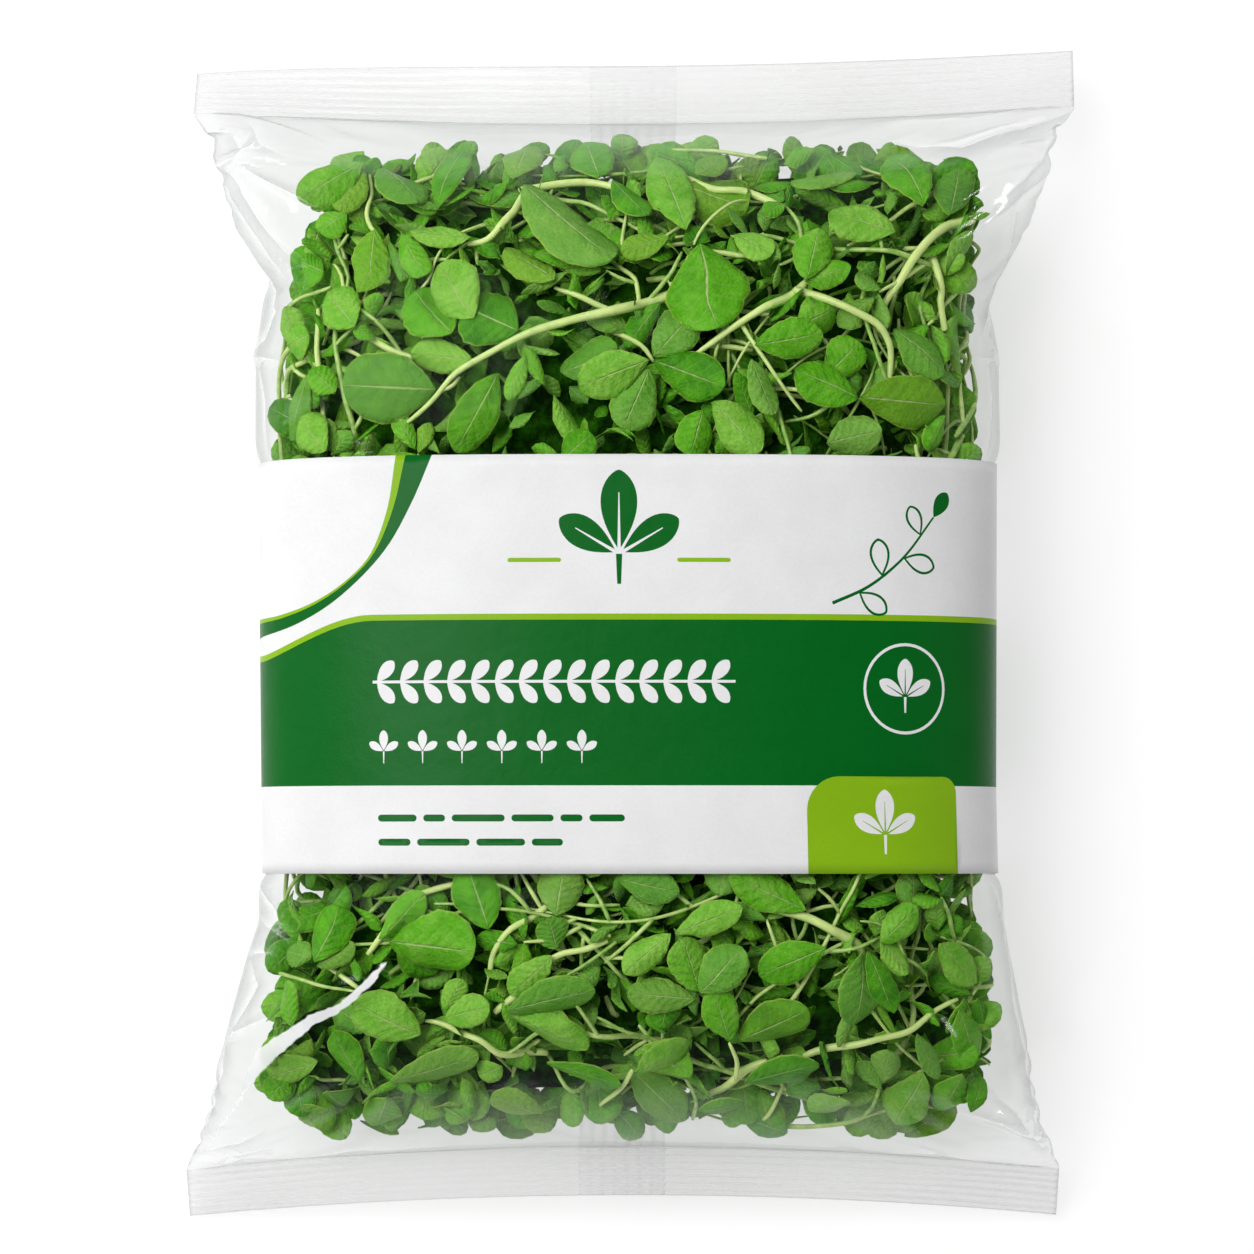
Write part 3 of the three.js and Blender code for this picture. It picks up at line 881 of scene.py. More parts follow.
class Nodes:
    """Short ways to place and link nodes in a material or a group."""

    def __init__(self, tree):
        self.tree = tree

    def add(self, kind, values=None, **settings):
        node = self.tree.nodes.new("ShaderNode" + kind)
        for key, value in settings.items():
            setattr(node, key, value)
        for key, value in (values or {}).items():
            self.put(node.inputs[key], value)
        return node

    def put(self, socket, value):
        if isinstance(value, bpy.types.NodeSocket):
            self.tree.links.new(value, socket)
        else:
            socket.default_value = value

    def math(self, operation, a, b=0.0, c=0.0, clamp=False):
        return self.add("Math", {0: a, 1: b, 2: c}, operation=operation, use_clamp=clamp).outputs[0]

    def blend(self, share, a, b):
        return self.add("Mix", {0: share, 6: a, 7: b}, data_type="RGBA").outputs[2]

    def between(self, value, low, high, to_low=0.0, to_high=1.0):
        return self.add("MapRange", {0: value, 1: low, 2: high, 3: to_low, 4: to_high}, clamp=True).outputs[0]

    def ramp(self, value, *stops):
        node = self.add("ValToRGB", {0: value})
        elements = node.color_ramp.elements
        while len(elements) < len(stops):
            elements.new(1.0)
        for element, (place, colour) in zip(elements, stops):
            element.position, element.color = place, colour
        return node.outputs[0]

    def stored(self, name):
        """A value that is stored on the points of the mesh."""
        return self.add("Attribute", attribute_name=name).outputs["Fac"]

    def mottle(self, scale, low=0.35, high=0.65, stretch=(1, 1, 1), detail=3.0):
        node = self.add("Group", node_tree=mottle_group())
        for key, value in dict(Scale=scale, Low=low, High=high, Stretch=stretch, Detail=detail).items():
            self.put(node.inputs[key], value)
        return node.outputs["Value"]

    def relief(self, height, strength, distance):
        return self.add("Bump", {"Height": height, "Strength": strength, "Distance": distance}).outputs[0]


def mottle_group():
    """Cloudy variation over a surface, from 0 to 1, that every finish uses at its own scale."""
    found = bpy.data.node_groups.get("Mottle")
    if found:
        return found
    group = bpy.data.node_groups.new("Mottle", "ShaderNodeTree")
    for name, kind in (("Scale", "Float"), ("Low", "Float"), ("High", "Float"), ("Stretch", "Vector"),
                       ("Detail", "Float")):
        group.interface.new_socket(name, in_out="INPUT", socket_type="NodeSocket" + kind)
    group.interface.new_socket("Value", in_out="OUTPUT", socket_type="NodeSocketFloat")
    n = Nodes(group)
    given, out = group.nodes.new("NodeGroupInput"), group.nodes.new("NodeGroupOutput")
    place = n.add("TexCoord").outputs["Object"]
    spread = n.add("VectorMath", {0: place, 1: given.outputs["Stretch"]}, operation="MULTIPLY").outputs[0]
    noise = n.add("TexNoise", {"Vector": spread, "Scale": given.outputs["Scale"],
                               "Detail": given.outputs["Detail"], "Roughness": 0.55})
    value = n.between(noise.outputs["Fac"], given.outputs["Low"], given.outputs["High"])
    n.put(out.inputs["Value"], value)
    return group


def new_material(name):
    made = bpy.data.materials.new(name)
    made.use_nodes = True
    made.node_tree.nodes.clear()
    nodes = Nodes(made.node_tree)
    return made, nodes, nodes.add("OutputMaterial").inputs["Surface"]


def tinted(colour, times=1.0):
    return tuple(min(1.0, c * times) for c in colour[:3]) + (1.0,)


def leaf_material(colours):
    """Leaf: green from dark to light, with a pale midrib and side veins, a light rim, and a greyer back."""
    made, n, surface = new_material("fenugreek_leaf")
    split = n.add("SeparateXYZ", {0: n.add("UVMap", uv_map="leaf_map").outputs[0]})
    over = n.math("ABSOLUTE", n.math("MULTIPLY_ADD", split.outputs[0], 2.0, -1.0))
    along = split.outputs[1]
    tint, age, pale = n.stored("tint"), n.stored("age"), n.stored("pale")
    cloud, grain = n.mottle(220.0, 0.3, 0.7), n.mottle(1500.0, 0.35, 0.65)
    rib_width = n.between(along, 0.0, 1.0, 0.08, 0.02)
    rib = n.math("SUBTRACT", 1.0, n.math("DIVIDE", over, rib_width), clamp=True)
    arch = n.math("MULTIPLY_ADD", n.math("SQRT", over), -1.7, n.math("MULTIPLY", along, 6.5))
    phase = n.math("FRACT", n.math("MULTIPLY_ADD", cloud, 0.4, arch))
    between_veins = n.math("ABSOLUTE", n.math("SUBTRACT", phase, 0.5))
    vein = n.math("MULTIPLY", n.between(between_veins, 0.0, 0.08, 1.0, 0.0),
                  n.between(over, 0.5, 0.97, 1.0, 0.3))
    rim = n.between(over, 0.93, 1.0)
    tone = n.math("MULTIPLY_ADD", cloud, 0.4, n.math("MULTIPLY", tint, 0.7))
    colour = n.ramp(tone, (0.05, tinted(colours.leaf_dark)), (0.5, tinted(colours.leaf_middle)),
                    (0.95, tinted(colours.leaf_light)))
    colour = n.blend(n.between(age, 0.8, 1.0, 0.0, 0.6), colour, (0.25, 0.45, 0.03, 1))
    colour = n.blend(n.math("MULTIPLY", pale, 0.4), colour, (0.20, 0.38, 0.10, 1))
    colour = n.blend(n.math("MULTIPLY", grain, 0.25), colour, (0.045, 0.19, 0.008, 1))
    colour = n.blend(n.math("MULTIPLY", vein, 0.34), colour, (0.32, 0.56, 0.12, 1))
    colour = n.blend(rib, colour, (0.58, 0.76, 0.28, 1))
    colour = n.blend(rim, colour, (0.42, 0.66, 0.10, 1))
    height = n.math("MULTIPLY_ADD", between_veins, 0.75, n.math("MULTIPLY", rib, -0.8))
    height = n.math("MULTIPLY_ADD", grain, 0.35, height)
    height = n.math("MULTIPLY_ADD", cloud, 0.9, height)
    normal = n.relief(height, 0.7, 0.0005)
    rough = n.between(cloud, 0.0, 1.0, 0.34, 0.5)
    shader = n.add("BsdfPrincipled", {"Base Color": colour, "Roughness": rough, "Normal": normal,
                                      "Specular IOR Level": 0.16})
    warm = n.blend(0.5, colour, (0.30, 0.62, 0.02, 1))
    through = n.add("BsdfTranslucent", {"Color": warm, "Normal": normal})
    n.put(surface, n.add("MixShader", {0: 0.16, 1: shader.outputs[0], 2: through.outputs[0]}).outputs[0])
    return made


def stem_material(colours):
    """Stems from green to pale green, lighter along streaks."""
    made, n, surface = new_material("fenugreek_stem")
    tint = n.stored("tint")
    streak = n.mottle(420.0, 0.3, 0.7)
    tone = n.math("MULTIPLY_ADD", streak, 0.35, n.math("MULTIPLY", tint, 0.65))
    colour = n.ramp(tone, (0.05, (0.16, 0.40, 0.035, 1)), (0.5, tinted(colours.stem)),
                    (1.0, tinted(colours.stem, 1.3)))
    shader = n.add("BsdfPrincipled", {"Base Color": colour, "Roughness": n.between(streak, 0, 1, 0.3, 0.42),
                                      "Normal": n.relief(streak, 0.3, 0.0003), "Specular IOR Level": 0.45})
    n.put(surface, shader.outputs[0])
    return made


def painted_shade_core_material(colours):
    """The depth of the heap: the darkest leaf green dimmed further, as painted shade."""
    made, n, surface = new_material("leaf_depth_painted_shade")
    cloud = n.mottle(220.0, 0.35, 0.7)
    # Painted shade: the darkest leaf green dimmed to between 0.12 and 0.6 of itself
    colour = n.ramp(cloud, (0.1, tinted(colours.leaf_dark, 0.12)), (0.9, tinted(colours.leaf_dark, 0.6)))
    shader = n.add("BsdfPrincipled", {"Base Color": colour, "Roughness": 0.7, "Specular IOR Level": 0.05,
                                      "Normal": n.relief(cloud, 0.8, 0.002)})
    n.put(surface, shader.outputs[0])
    return made


def film_material():
    """Clear film: see-through, dimmer and glossier where it is seen at a slant, with painted light on one
    side of each fold and painted shade on the other, a painted highlight along each fold's crest, and painted
    white glare where a fold throws back the light."""
    made, n, surface = new_material("clear_film")
    normal = n.relief(n.mottle(60.0, 0.2, 0.8), 0.2, 0.0008)
    slant = n.add("LayerWeight", {"Blend": 0.5, "Normal": normal}).outputs["Facing"]
    fold, side, glare = n.stored("fold"), n.stored("side"), n.stored("glare")
    # fold, side and glare mark painted light and shade: lit is the side of a fold with painted light, dim its
    # side with painted shade, and line its crest with a painted highlight
    light_side = n.between(side, -0.12, 0.12)
    lit = n.math("MULTIPLY", fold, light_side)
    dim = n.math("MULTIPLY", fold, n.math("SUBTRACT", 1.0, light_side))
    line = n.math("MULTIPLY", fold, n.between(n.math("ABSOLUTE", side), 0.1, 0.35, 1.0, 0.0))
    tone = n.ramp(slant, (0.1, (0.955, 0.957, 0.957, 1)), (0.5, (0.90, 0.903, 0.903, 1)),
                  (0.95, (0.70, 0.71, 0.71, 1)))
    # Painted shade on each fold's dim side and painted light on its lit side, in what the film lets through
    tone = n.blend(n.between(dim, 0.0, 0.9), tone, (0.72, 0.725, 0.73, 1))
    tone = n.blend(n.between(lit, 0.0, 0.5), tone, (0.99, 0.991, 0.991, 1))
    clear = n.add("BsdfTransparent", {"Color": tone})
    gloss = n.add("BsdfGlossy", {"Color": (1, 1, 1, 1), "Roughness": 0.08, "Normal": normal})
    mirror = n.math("MULTIPLY_ADD", n.math("POWER", slant, 2.6), 0.55, 0.002)
    mirror = n.math("MULTIPLY_ADD", fold, 0.05, mirror, clamp=True)
    shiny = n.add("MixShader", {0: mirror, 1: clear.outputs[0], 2: gloss.outputs[0]})
    # A white layer that carries the painted highlights: the lit sides and crests of the folds, and the glare
    milk_and_painted_highlight = n.add("BsdfPrincipled", {"Base Color": (0.93, 0.94, 0.945, 1), "Roughness": 0.15,
                                    "Normal": normal})
    # Painted glare, torn at its edge, with the painted highlights of the folds' lit sides and crests
    torn = n.math("MULTIPLY_ADD", n.mottle(420.0, 0.3, 0.7, detail=1.0), 0.09, glare)
    strength = n.between(n.mottle(90.0, 0.3, 0.7), 0, 1, 0.75, 0.95)
    white = n.math("MULTIPLY", n.between(torn, 0.51, 0.58), strength)
    white = n.math("MULTIPLY_ADD", lit, 0.22, n.math("MULTIPLY_ADD", line, 0.5, white), clamp=True)
    n.put(surface, n.add("MixShader", {0: white, 1: shiny.outputs[0], 2: milk_and_painted_highlight.outputs[0]}).outputs[0])
    return made


def seal_material(name, least, most, clearest, dip):
    """Crimped film: the layers welded together, milky between least and most, with a ridge for each line of
    the crimp. It lets clearest of the light through on the ridges, and dip less between them. The lines are
    partly the crimp's own and partly painted highlight on the ridges and painted shade between them,
    stronger in patches; the outer edges and folded sides are darkened with painted shade."""
    made, n, surface = new_material(name)
    crimp, edge = n.stored("crimp"), n.stored("edge")
    streak = n.mottle(130.0, 0.25, 0.75, (0.05, 1, 1), 0.6)
    patch = n.mottle(16.0, 0.35, 0.6, detail=1.0)
    phase = n.math("MULTIPLY", crimp, 2 * math.pi * CRIMP_LINES)
    wave = n.math("SINE", n.math("MULTIPLY_ADD", streak, 2.2, phase))
    # Ridge tone: partly the crimp's own lines, partly painted highlight and painted shade, stronger where
    # patch is high
    ridge = n.math("MULTIPLY_ADD", wave, n.between(patch, 0, 1, 0.05, 0.7), n.math("MULTIPLY", streak, 0.25))
    normal = n.relief(ridge, 0.4, 0.0006)
    tone = n.blend(n.between(ridge, -0.5, 0.2), (clearest - dip,) * 3 + (1,), (clearest,) * 3 + (1,))
    # Painted shade along the seal's outer edges and folded sides
    tone = n.blend(n.between(edge, 0.4, 1.0, 0.0, 0.5), tone, (0.6, 0.61, 0.61, 1))
    clear = n.add("BsdfTransparent", {"Color": tone})
    milk_and_painted_highlight = n.add("BsdfPrincipled", {"Base Color": (0.86, 0.86, 0.865, 1), "Roughness": 0.2, "Normal": normal,
                                    "Specular IOR Level": 0.6})
    share = n.between(ridge, -0.3, 0.8, least, most)
    n.put(surface, n.add("MixShader", {0: share, 1: clear.outputs[0], 2: milk_and_painted_highlight.outputs[0]}).outputs[0])
    return made


def print_material(name, ink):
    """Printed stock: an even field of ink over fibrous paper, with soft gloss."""
    made, n, surface = new_material(name)
    cloud, fibre = n.mottle(70.0), n.mottle(1500.0)
    share = n.math("MULTIPLY_ADD", cloud, 0.6, n.math("MULTIPLY", fibre, 0.4))
    colour = n.blend(share, tinted(ink, 0.94), tinted(ink, 1.02))
    normal = n.relief(n.math("MULTIPLY_ADD", fibre, 0.1, cloud), 0.1, 0.001)
    rough = n.between(fibre, 0, 1, 0.3, 0.38)
    shader = n.add("BsdfPrincipled", {"Base Color": colour, "Roughness": rough, "Normal": normal,
                                      "Specular IOR Level": 0.1})
    n.put(surface, shader.outputs[0])
    return made


# ---------------------------------------------------------------------------
# The printed band: a flat layout in A round the bag and Y along it, in millimetres
# ---------------------------------------------------------------------------

WHITE, GREEN, LIME = 0, 1, 2
BAND_DEPTH = 0.05  # of its outer face under the pouch's own surface
BAND_THICK = 0.32
BAND_GRID = 2.5
FIELD_TOP = 1.6
FIELD_BOTTOM = -35.4
FIELD_LEFT_TOP = -6.6  # where the field's upper edge has come down to at the left side
STRIPE = 1.3
TAB = dict(left=40.0, right=76.0, top=-33.4, round_left=7.5, round_right=3.6)
GARLAND = dict(left=-57, middle=-13, step=5.4, count=15)
SPRIG_ROW = dict(left=-55.5, middle=-28, step=9, count=6)
RING = (63, -14.4)

# The edges of the swoosh above the field, the branch beside it, and the steps along the branch that bear a
# leaf, with the leaf's length
SWOOSH_OUTER = [(-52.3, 36.1), (-54.8, 23), (-59, 13.9), (-65, 8.6), (-73, 4.4), (-82, 2.1), (-93, 1.5),
                (-118, 2.2), (-150, 0.5)]
SWOOSH_LOWER = [(-44, 36.1), (-48.6, 26), (-54.8, 15.8), (-62, 8.6), (-69, 3.6), (-77, 0.0), (-93, -2.6),
                (-118, -1.2), (-150, 0.4)]
BRANCH = [(46, 4), (54, 7.5), (62, 13.5), (70, 23)]
BRANCH_LEAVES = [(5, 8.0), (10, 8.4), (15, 8.0), (20, 7.0)]

# The rows of rules: the height of each row, and the left end and the length of its rules
RULES = [
    (-42.4, ((-57, 9), (-46.5, 5), (-40, 12), (-26.5, 9.5), (-15.5, 5), (-9, 8))),
    (-47.6, ((-57, 7.5), (-48, 12), (-34.5, 11), (-22, 7))),
]


def curve_through(points, steps=8):
    """A smooth line through the given points (Catmull-Rom)."""
    points = np.asarray(points, float)
    run = run_along(points)
    t = np.linspace(0, run[-1], (len(points) - 1) * steps + 1)
    return np.stack([Heap.curved(run, points[:, 0], t), Heap.curved(run, points[:, 1], t)], axis=-1)


def stroke(line, width, end_width=None):
    """The outline of a line of a given width, which may taper towards its end."""
    line = np.asarray(line, float)
    ahead = unit(np.gradient(line, axis=0))
    beside = np.stack([-ahead[:, 1], ahead[:, 0]], axis=-1)
    half = np.linspace(width, width if end_width is None else end_width, len(line))[:, None] / 2
    return np.concatenate([line + beside * half, (line - beside * half)[::-1]])


def circle(centre, radius):
    turn = np.linspace(0, 2 * math.pi, 48, endpoint=False)
    return np.stack([centre[0] + radius * np.cos(turn), centre[1] + radius * np.sin(turn)], axis=-1)


def leaf_shape(base, heading, length, width):
    """The outline of a leaflet, widest past its middle, with a small point."""
    t = (1 - np.cos(np.linspace(0, math.pi, 9 + int(length)))) / 2
    half = width / 2 * power(t, 1.05) * power(1 - t, 0.68) / 0.347
    side = np.concatenate([np.stack([t * length, half], -1), np.stack([t * length, -half], -1)[-2:0:-1]])
    c, s = math.cos(heading), math.sin(heading)
    x, y = side.T
    return np.stack([base[0] + x * c - y * s, base[1] + x * s + y * c], -1)


def three_leaves(base, size, stalk, ink, ribs=None):
    """An upright sprig of three leaflets on a stalk, as shapes, with their midribs in another ink."""
    shapes = []
    for turn, share in ((1.05, 0.84), (-1.05, 0.84), (0, 1)):
        way = math.pi / 2 + turn
        start = step_from(base, way, 0.04 * size)
        shapes.append((leaf_shape(start, way, size * share, size * 0.52 * share), ink))
        if ribs is not None:
            end = step_from(start, way, 0.72 * size * share)
            shapes.append((stroke([start, end], size * 0.045, size * 0.012), ribs))
    shapes.append((stroke([base, (base[0], base[1] - stalk)], size * 0.08, size * 0.05), ink))
    return shapes


def bar(left, right, middle, height):
    """A short rounded rule."""
    r = height / 2
    turn = np.linspace(-math.pi / 2, math.pi / 2, 7)
    end = np.stack([right - r + r * np.cos(turn), middle + r * np.sin(turn)], -1)
    start = np.stack([left + r - r * np.cos(turn), middle - r * np.sin(turn)], -1)
    return np.concatenate([end, start])


def field_shapes():
    """The coloured field, which goes all the way round; across the back its edge comes back up."""
    front = np.arange(-100.0, 100.1, 2)
    a = np.concatenate([np.arange(-200.0, -100.0, 4), front, np.arange(104.0, 200.1, 4)])
    rise = mix(FIELD_TOP, FIELD_LEFT_TOP, ease((np.mod(a, GIRTH) - 130) / 140))
    edge = np.where(np.abs(a) <= RIGHT_SIDE, mix(FIELD_LEFT_TOP, FIELD_TOP, ease((a + 91) / 33)), rise)
    floor = np.full_like(a, FIELD_BOTTOM)
    return [(np.concatenate([np.stack([a, edge - drop], -1), np.stack([a, floor], -1)[::-1]]), ink)
            for drop, ink in ((0.0, LIME), (STRIPE, GREEN))]


def swoosh_shapes():
    """The swoosh above the field: a lime edge over a green blade."""
    outer, lower = curve_through(SWOOSH_OUTER), curve_through(SWOOSH_LOWER)
    inner = mix(outer, lower, np.linspace(0.27, 0.2, len(outer))[:, None])
    return [(np.concatenate([outer, lower[::-1]]), LIME), (np.concatenate([inner, lower[::-1]]), GREEN)]


def tab_shapes():
    """The tab at the lower right, with a sprig."""
    r1, r2 = TAB["round_left"], TAB["round_right"]
    turn = np.linspace(0, math.pi / 2, 9)
    right = np.stack([TAB["right"] - r2 + r2 * np.cos(turn), TAB["top"] - r2 + r2 * np.sin(turn)], -1)
    left = np.stack([TAB["left"] + r1 - r1 * np.sin(turn), TAB["top"] - r1 + r1 * np.cos(turn)], -1)
    foot = np.array([[TAB["left"], BAND_BOTTOM], [TAB["right"], BAND_BOTTOM]])
    tab = np.concatenate([foot[1:], right, left, foot[:1]])
    return [(tab, LIME)] + three_leaves((58, -46.0), 9.4, 4.2, WHITE, LIME)


def branch_shapes():
    """A branch with leaves in outline."""
    branch = curve_through(BRANCH)
    shapes = [(stroke(branch, 0.75, 0.45), GREEN)]
    for i, (spot, size) in enumerate(BRANCH_LEAVES):
        way = math.atan2(*(branch[spot + 1] - branch[spot])[::-1]) + (1.05 if i % 2 else -1.05)
        shapes.append((leaf_shape(branch[spot], way, size, size * 0.62), GREEN))
        start = step_from(branch[spot], way, 0.09 * size)
        shapes.append((leaf_shape(start, way, size * 0.84, size * 0.62 - 1.25), WHITE))
    shapes.append((leaf_shape(branch[-1], 1.0, 6.5, 4.0), GREEN))
    return shapes


def row_shapes():
    """A garland, a row of small sprigs and rules, where a pack carries its words."""
    middle = GARLAND["middle"]
    shapes = [(stroke([(-58, middle), (-17, middle), (24, middle)], 0.6), WHITE)]
    for i in range(GARLAND["count"]):
        at = GARLAND["left"] + GARLAND["step"] * i
        shapes += [(leaf_shape((at, middle), way, 6.0, 3.3), WHITE) for way in (0.85, -0.85)]
    for i in range(SPRIG_ROW["count"]):
        at = SPRIG_ROW["left"] + SPRIG_ROW["step"] * i
        shapes += three_leaves((at, SPRIG_ROW["middle"]), 4.4, 2.6, WHITE)
    for middle, rules in RULES:
        shapes += [(bar(left, left + length, middle, 1.5), GREEN) for left, length in rules]
    return shapes


def band_shapes():
    """(outline, ink) for each shape on the band, the later over the earlier."""
    shapes = field_shapes() + swoosh_shapes() + tab_shapes()
    shapes += three_leaves((-2, 14.5), 17.5, 6.5, GREEN, WHITE)
    shapes += [(bar(-27, -15, 13.2, 0.9), LIME), (bar(11, 23, 13.2, 0.9), LIME)]
    shapes += branch_shapes() + row_shapes()
    shapes += [(circle(RING, 9.9), WHITE), (circle(RING, 9.25), GREEN)]
    return shapes + three_leaves((63, -16.2), 8.0, 3.4, WHITE, GREEN)


def turned_left(outline):
    """The outline in the direction that has its inside on the left."""
    x, y = np.asarray(outline).T
    return outline if np.sum(x * np.roll(y, -1) - y * np.roll(x, -1)) > 0 else outline[::-1]


def flat_band():
    """The band's layout, cut into triangles: its points, the triangles, and the ink of each."""
    shapes = band_shapes()
    a_lines = np.arange(-200, 200.01, BAND_GRID)
    y_lines = np.linspace(BAND_BOTTOM, BAND_TOP, 37)
    points = [Vector((a, y)) for a in a_lines for y in y_lines]
    cells, last = len(y_lines), (len(a_lines) - 1) * len(y_lines)
    edges = []
    for i in range(0, last, cells):
        edges += [(i, i + cells), (i + cells - 1, i + 2 * cells - 1)]
    for j in range(cells - 1):
        edges += [(j, j + 1), (last + j, last + j + 1)]
    faces = []
    for outline, _ in shapes:
        start = len(points)
        points += [Vector((a, min(max(y, BAND_BOTTOM), BAND_TOP))) for a, y in turned_left(outline)]
        faces.append(list(range(start, len(points))))
    found, _, triangles, _, _, origins = delaunay_2d_cdt(points, edges, faces, 0, 1e-4)
    inks = [shapes[max(o)][1] if len(o) else WHITE for o in origins]
    return np.array([tuple(p) for p in found]), triangles, inks


def band_rim(flat, triangles):
    """The quads between the band's faces, along its upper and its lower edge."""
    border = {}
    for t in triangles:
        for k in range(3):
            pair = (t[k], t[(k + 1) % 3])
            if pair[::-1] in border:
                del border[pair[::-1]]
            else:
                border[pair] = True
    count = len(flat)
    y = flat[:, 1]
    at_edge = (np.abs(y - BAND_TOP) < 1e-3) | (np.abs(y - BAND_BOTTOM) < 1e-3)
    return [(p, q, q + count, p + count) for p, q in border if at_edge[p] and abs(y[p] - y[q]) < 1e-3]


def printed_band():
    """The band's mesh: its layout is cut into triangles flat, and then laid round the bag."""
    flat, triangles, inks = flat_band()
    rows = np.interp(flat[:, 1], CHART.places, CHART.b)
    faces = [CHART.at(flat[:, 0], rows, np.full(len(flat), depth))
             for depth in (BAND_DEPTH, BAND_DEPTH + BAND_THICK)]
    backs = [tuple(i + len(flat) for i in reversed(t)) for t in triangles]
    rim = band_rim(flat, triangles)
    piece = mesh_from("printed_band", np.concatenate(faces), triangles + backs + rim)
    piece.data.polygons.foreach_set("material_index", inks + [WHITE] * (len(backs) + len(rim)))
    bm = bmesh.new()
    bm.from_mesh(piece.data)
    bmesh.ops.remove_doubles(bm, verts=bm.verts, dist=1e-6)
    bmesh.ops.recalc_face_normals(bm, faces=bm.faces)
    bm.to_mesh(piece.data)
    bm.free()
    return piece


# ---------------------------------------------------------------------------
# The film
# ---------------------------------------------------------------------------

HEAP_CLEARANCE = (0.7, 1.0)  # how far the film may sink towards the leaves, in the middle and at a side edge
SIDE_PLAY = 0.7  # how far it may stand out at a side edge
GATHER = 0.4  # how much of its spare length the film keeps where the pouch is shorter
UNDER_BAND = 0.75  # how far the band holds it in
FLOOR_CLEARANCE = 0.55
MOST_PUFF = 6  # how far the air inside may push it out
ROUGHNESS = 0.5  # the unevenness that its folds start from
STIFFNESS = 0.12
PUFF = 0.004
PLAIN_STRIP = 40  # how far from a side edge the film starts to stay close to the pouch
FOLD_SEED = 3
SEAL_ROWS = 24
FIN_HALF_WIDTH = 10.0
FIN_FACES = (0.28, 0.14)  # how far out the fin's two faces lie

# Folds of the film: the height and the half width in millimetres, how strongly the film gets painted light on
# the left of the line and painted shade on its right (the other way round where that is below 0), and the
# pixels that it passes
SEEN_FOLDS = [
    # the upper left corner, with the star beside it
    (0.5, 2.0, 0.9, (205, 132), (220, 131), (234, 133)), (0.4, 4.0, 0.5, (234, 133), (240, 150), (236, 163)),
    (0.5, 1.6, 0.8, (216, 166), (226, 163), (236, 162)), (0.5, 3.0, -0.9, (236, 162), (246, 153), (256, 145)),
    (0.6, 1.5, 0.9, (237, 163), (250, 167), (262, 172)), (0.8, 3.5, -0.8, (237, 168), (268, 184), (310, 206)),
    (1.0, 4.0, 0.9, (232, 172), (262, 215), (292, 255)),
    (0.6, 2.5, -0.7, (219, 172), (245, 215), (272, 250), (290, 282)),
    (0.5, 3.0, 0.5, (253, 130), (262, 148), (283, 160)),
    # the left side down to the band
    (0.6, 2.5, -0.9, (273, 270), (284, 292), (279, 318)),
    (0.7, 3.0, -0.7, (290, 280), (284, 310), (272, 340), (258, 357)),
    (0.4, 2.0, -0.7, (257, 357), (270, 358), (284, 361)),
    (0.5, 2.5, -0.7, (263, 362), (270, 400), (268, 452)),
    # the upper right corner
    (0.8, 4.5, 0.9, (900, 150), (960, 153), (1022, 134), (1063, 114)),
    (0.4, 2.0, -0.6, (870, 128), (960, 126), (1020, 116), (1072, 104)),
    (1.0, 2.5, -0.9, (1056, 128), (1040, 160), (1020, 180), (992, 206)),
    (0.8, 3.0, 0.8, (1053, 164), (1022, 190), (1000, 212), (985, 222)),
    (1.0, 3.0, -0.9, (1012, 208), (1006, 232), (998, 262), (984, 292)),
    # the right side down to the band
    (0.6, 2.5, 0.9, (984, 298), (981, 312), (978, 328)), (0.5, 2.0, -0.7, (978, 325), (988, 345), (995, 360)),
    (0.4, 1.6, 0.6, (995, 360), (984, 358), (974, 357)), (0.5, 2.2, -0.8, (985, 362), (988, 400), (986, 450)),
    # the lower left corner
    (0.5, 2.0, -0.8, (262, 884), (278, 905), (290, 932)), (0.5, 2.0, 0.6, (267, 920), (280, 929), (292, 938)),
    (0.4, 1.6, 0.7, (253, 958), (264, 956), (276, 955)),
    (0.7, 3.0, -0.8, (256, 962), (262, 985), (250, 1012), (234, 1038)),
    (0.6, 2.5, -0.8, (232, 1040), (252, 1028), (270, 1018)),
    (0.7, 4.0, -0.7, (232, 1042), (222, 1080), (206, 1135)),
    (0.5, 2.0, 0.6, (206, 1152), (236, 1141), (262, 1128)),
    (0.4, 1.5, 0.8, (225, 1156), (245, 1149), (276, 1146)),
    (0.5, 2.5, 0.7, (202, 1162), (300, 1150), (360, 1143), (440, 1141)),
    # the lower right corner
    (0.8, 3.0, -0.7, (1047, 1153), (1015, 1112), (988, 1090)),
    (0.8, 3.0, -0.8, (1047, 1150), (1024, 1070), (1010, 1010), (1002, 955)),
    (0.7, 3.0, 0.6, (1042, 1144), (1000, 1117), (960, 1106)),
    (0.4, 2.0, -0.7, (1000, 955), (998, 925), (990, 888)),
    (0.5, 2.2, 0.7, (900, 1147), (960, 1152), (1005, 1158), (1046, 1164)),
]

# The long glare from the lower left corner over the leaves: the pixels, and its half width in millimetres
SEEN_GLARE = [
    (390, 957, 0.5), (376, 975, 0.8), (362, 991, 0.9), (350, 1001, 0.8), (336, 1010, 0.9), (318, 1019, 1.2),
    (300, 1030, 1.5), (284, 1042, 2.0), (268, 1056, 2.3), (255, 1076, 1.1), (246, 1092, 0.55),
    (228, 1116, 0.45), (212, 1138, 0.35), (200, 1156, 0.2),
]
GLARE_SLOPE = 0.2  # how much the stored value falls for each millimetre; it is 0.5 on the glare's edge


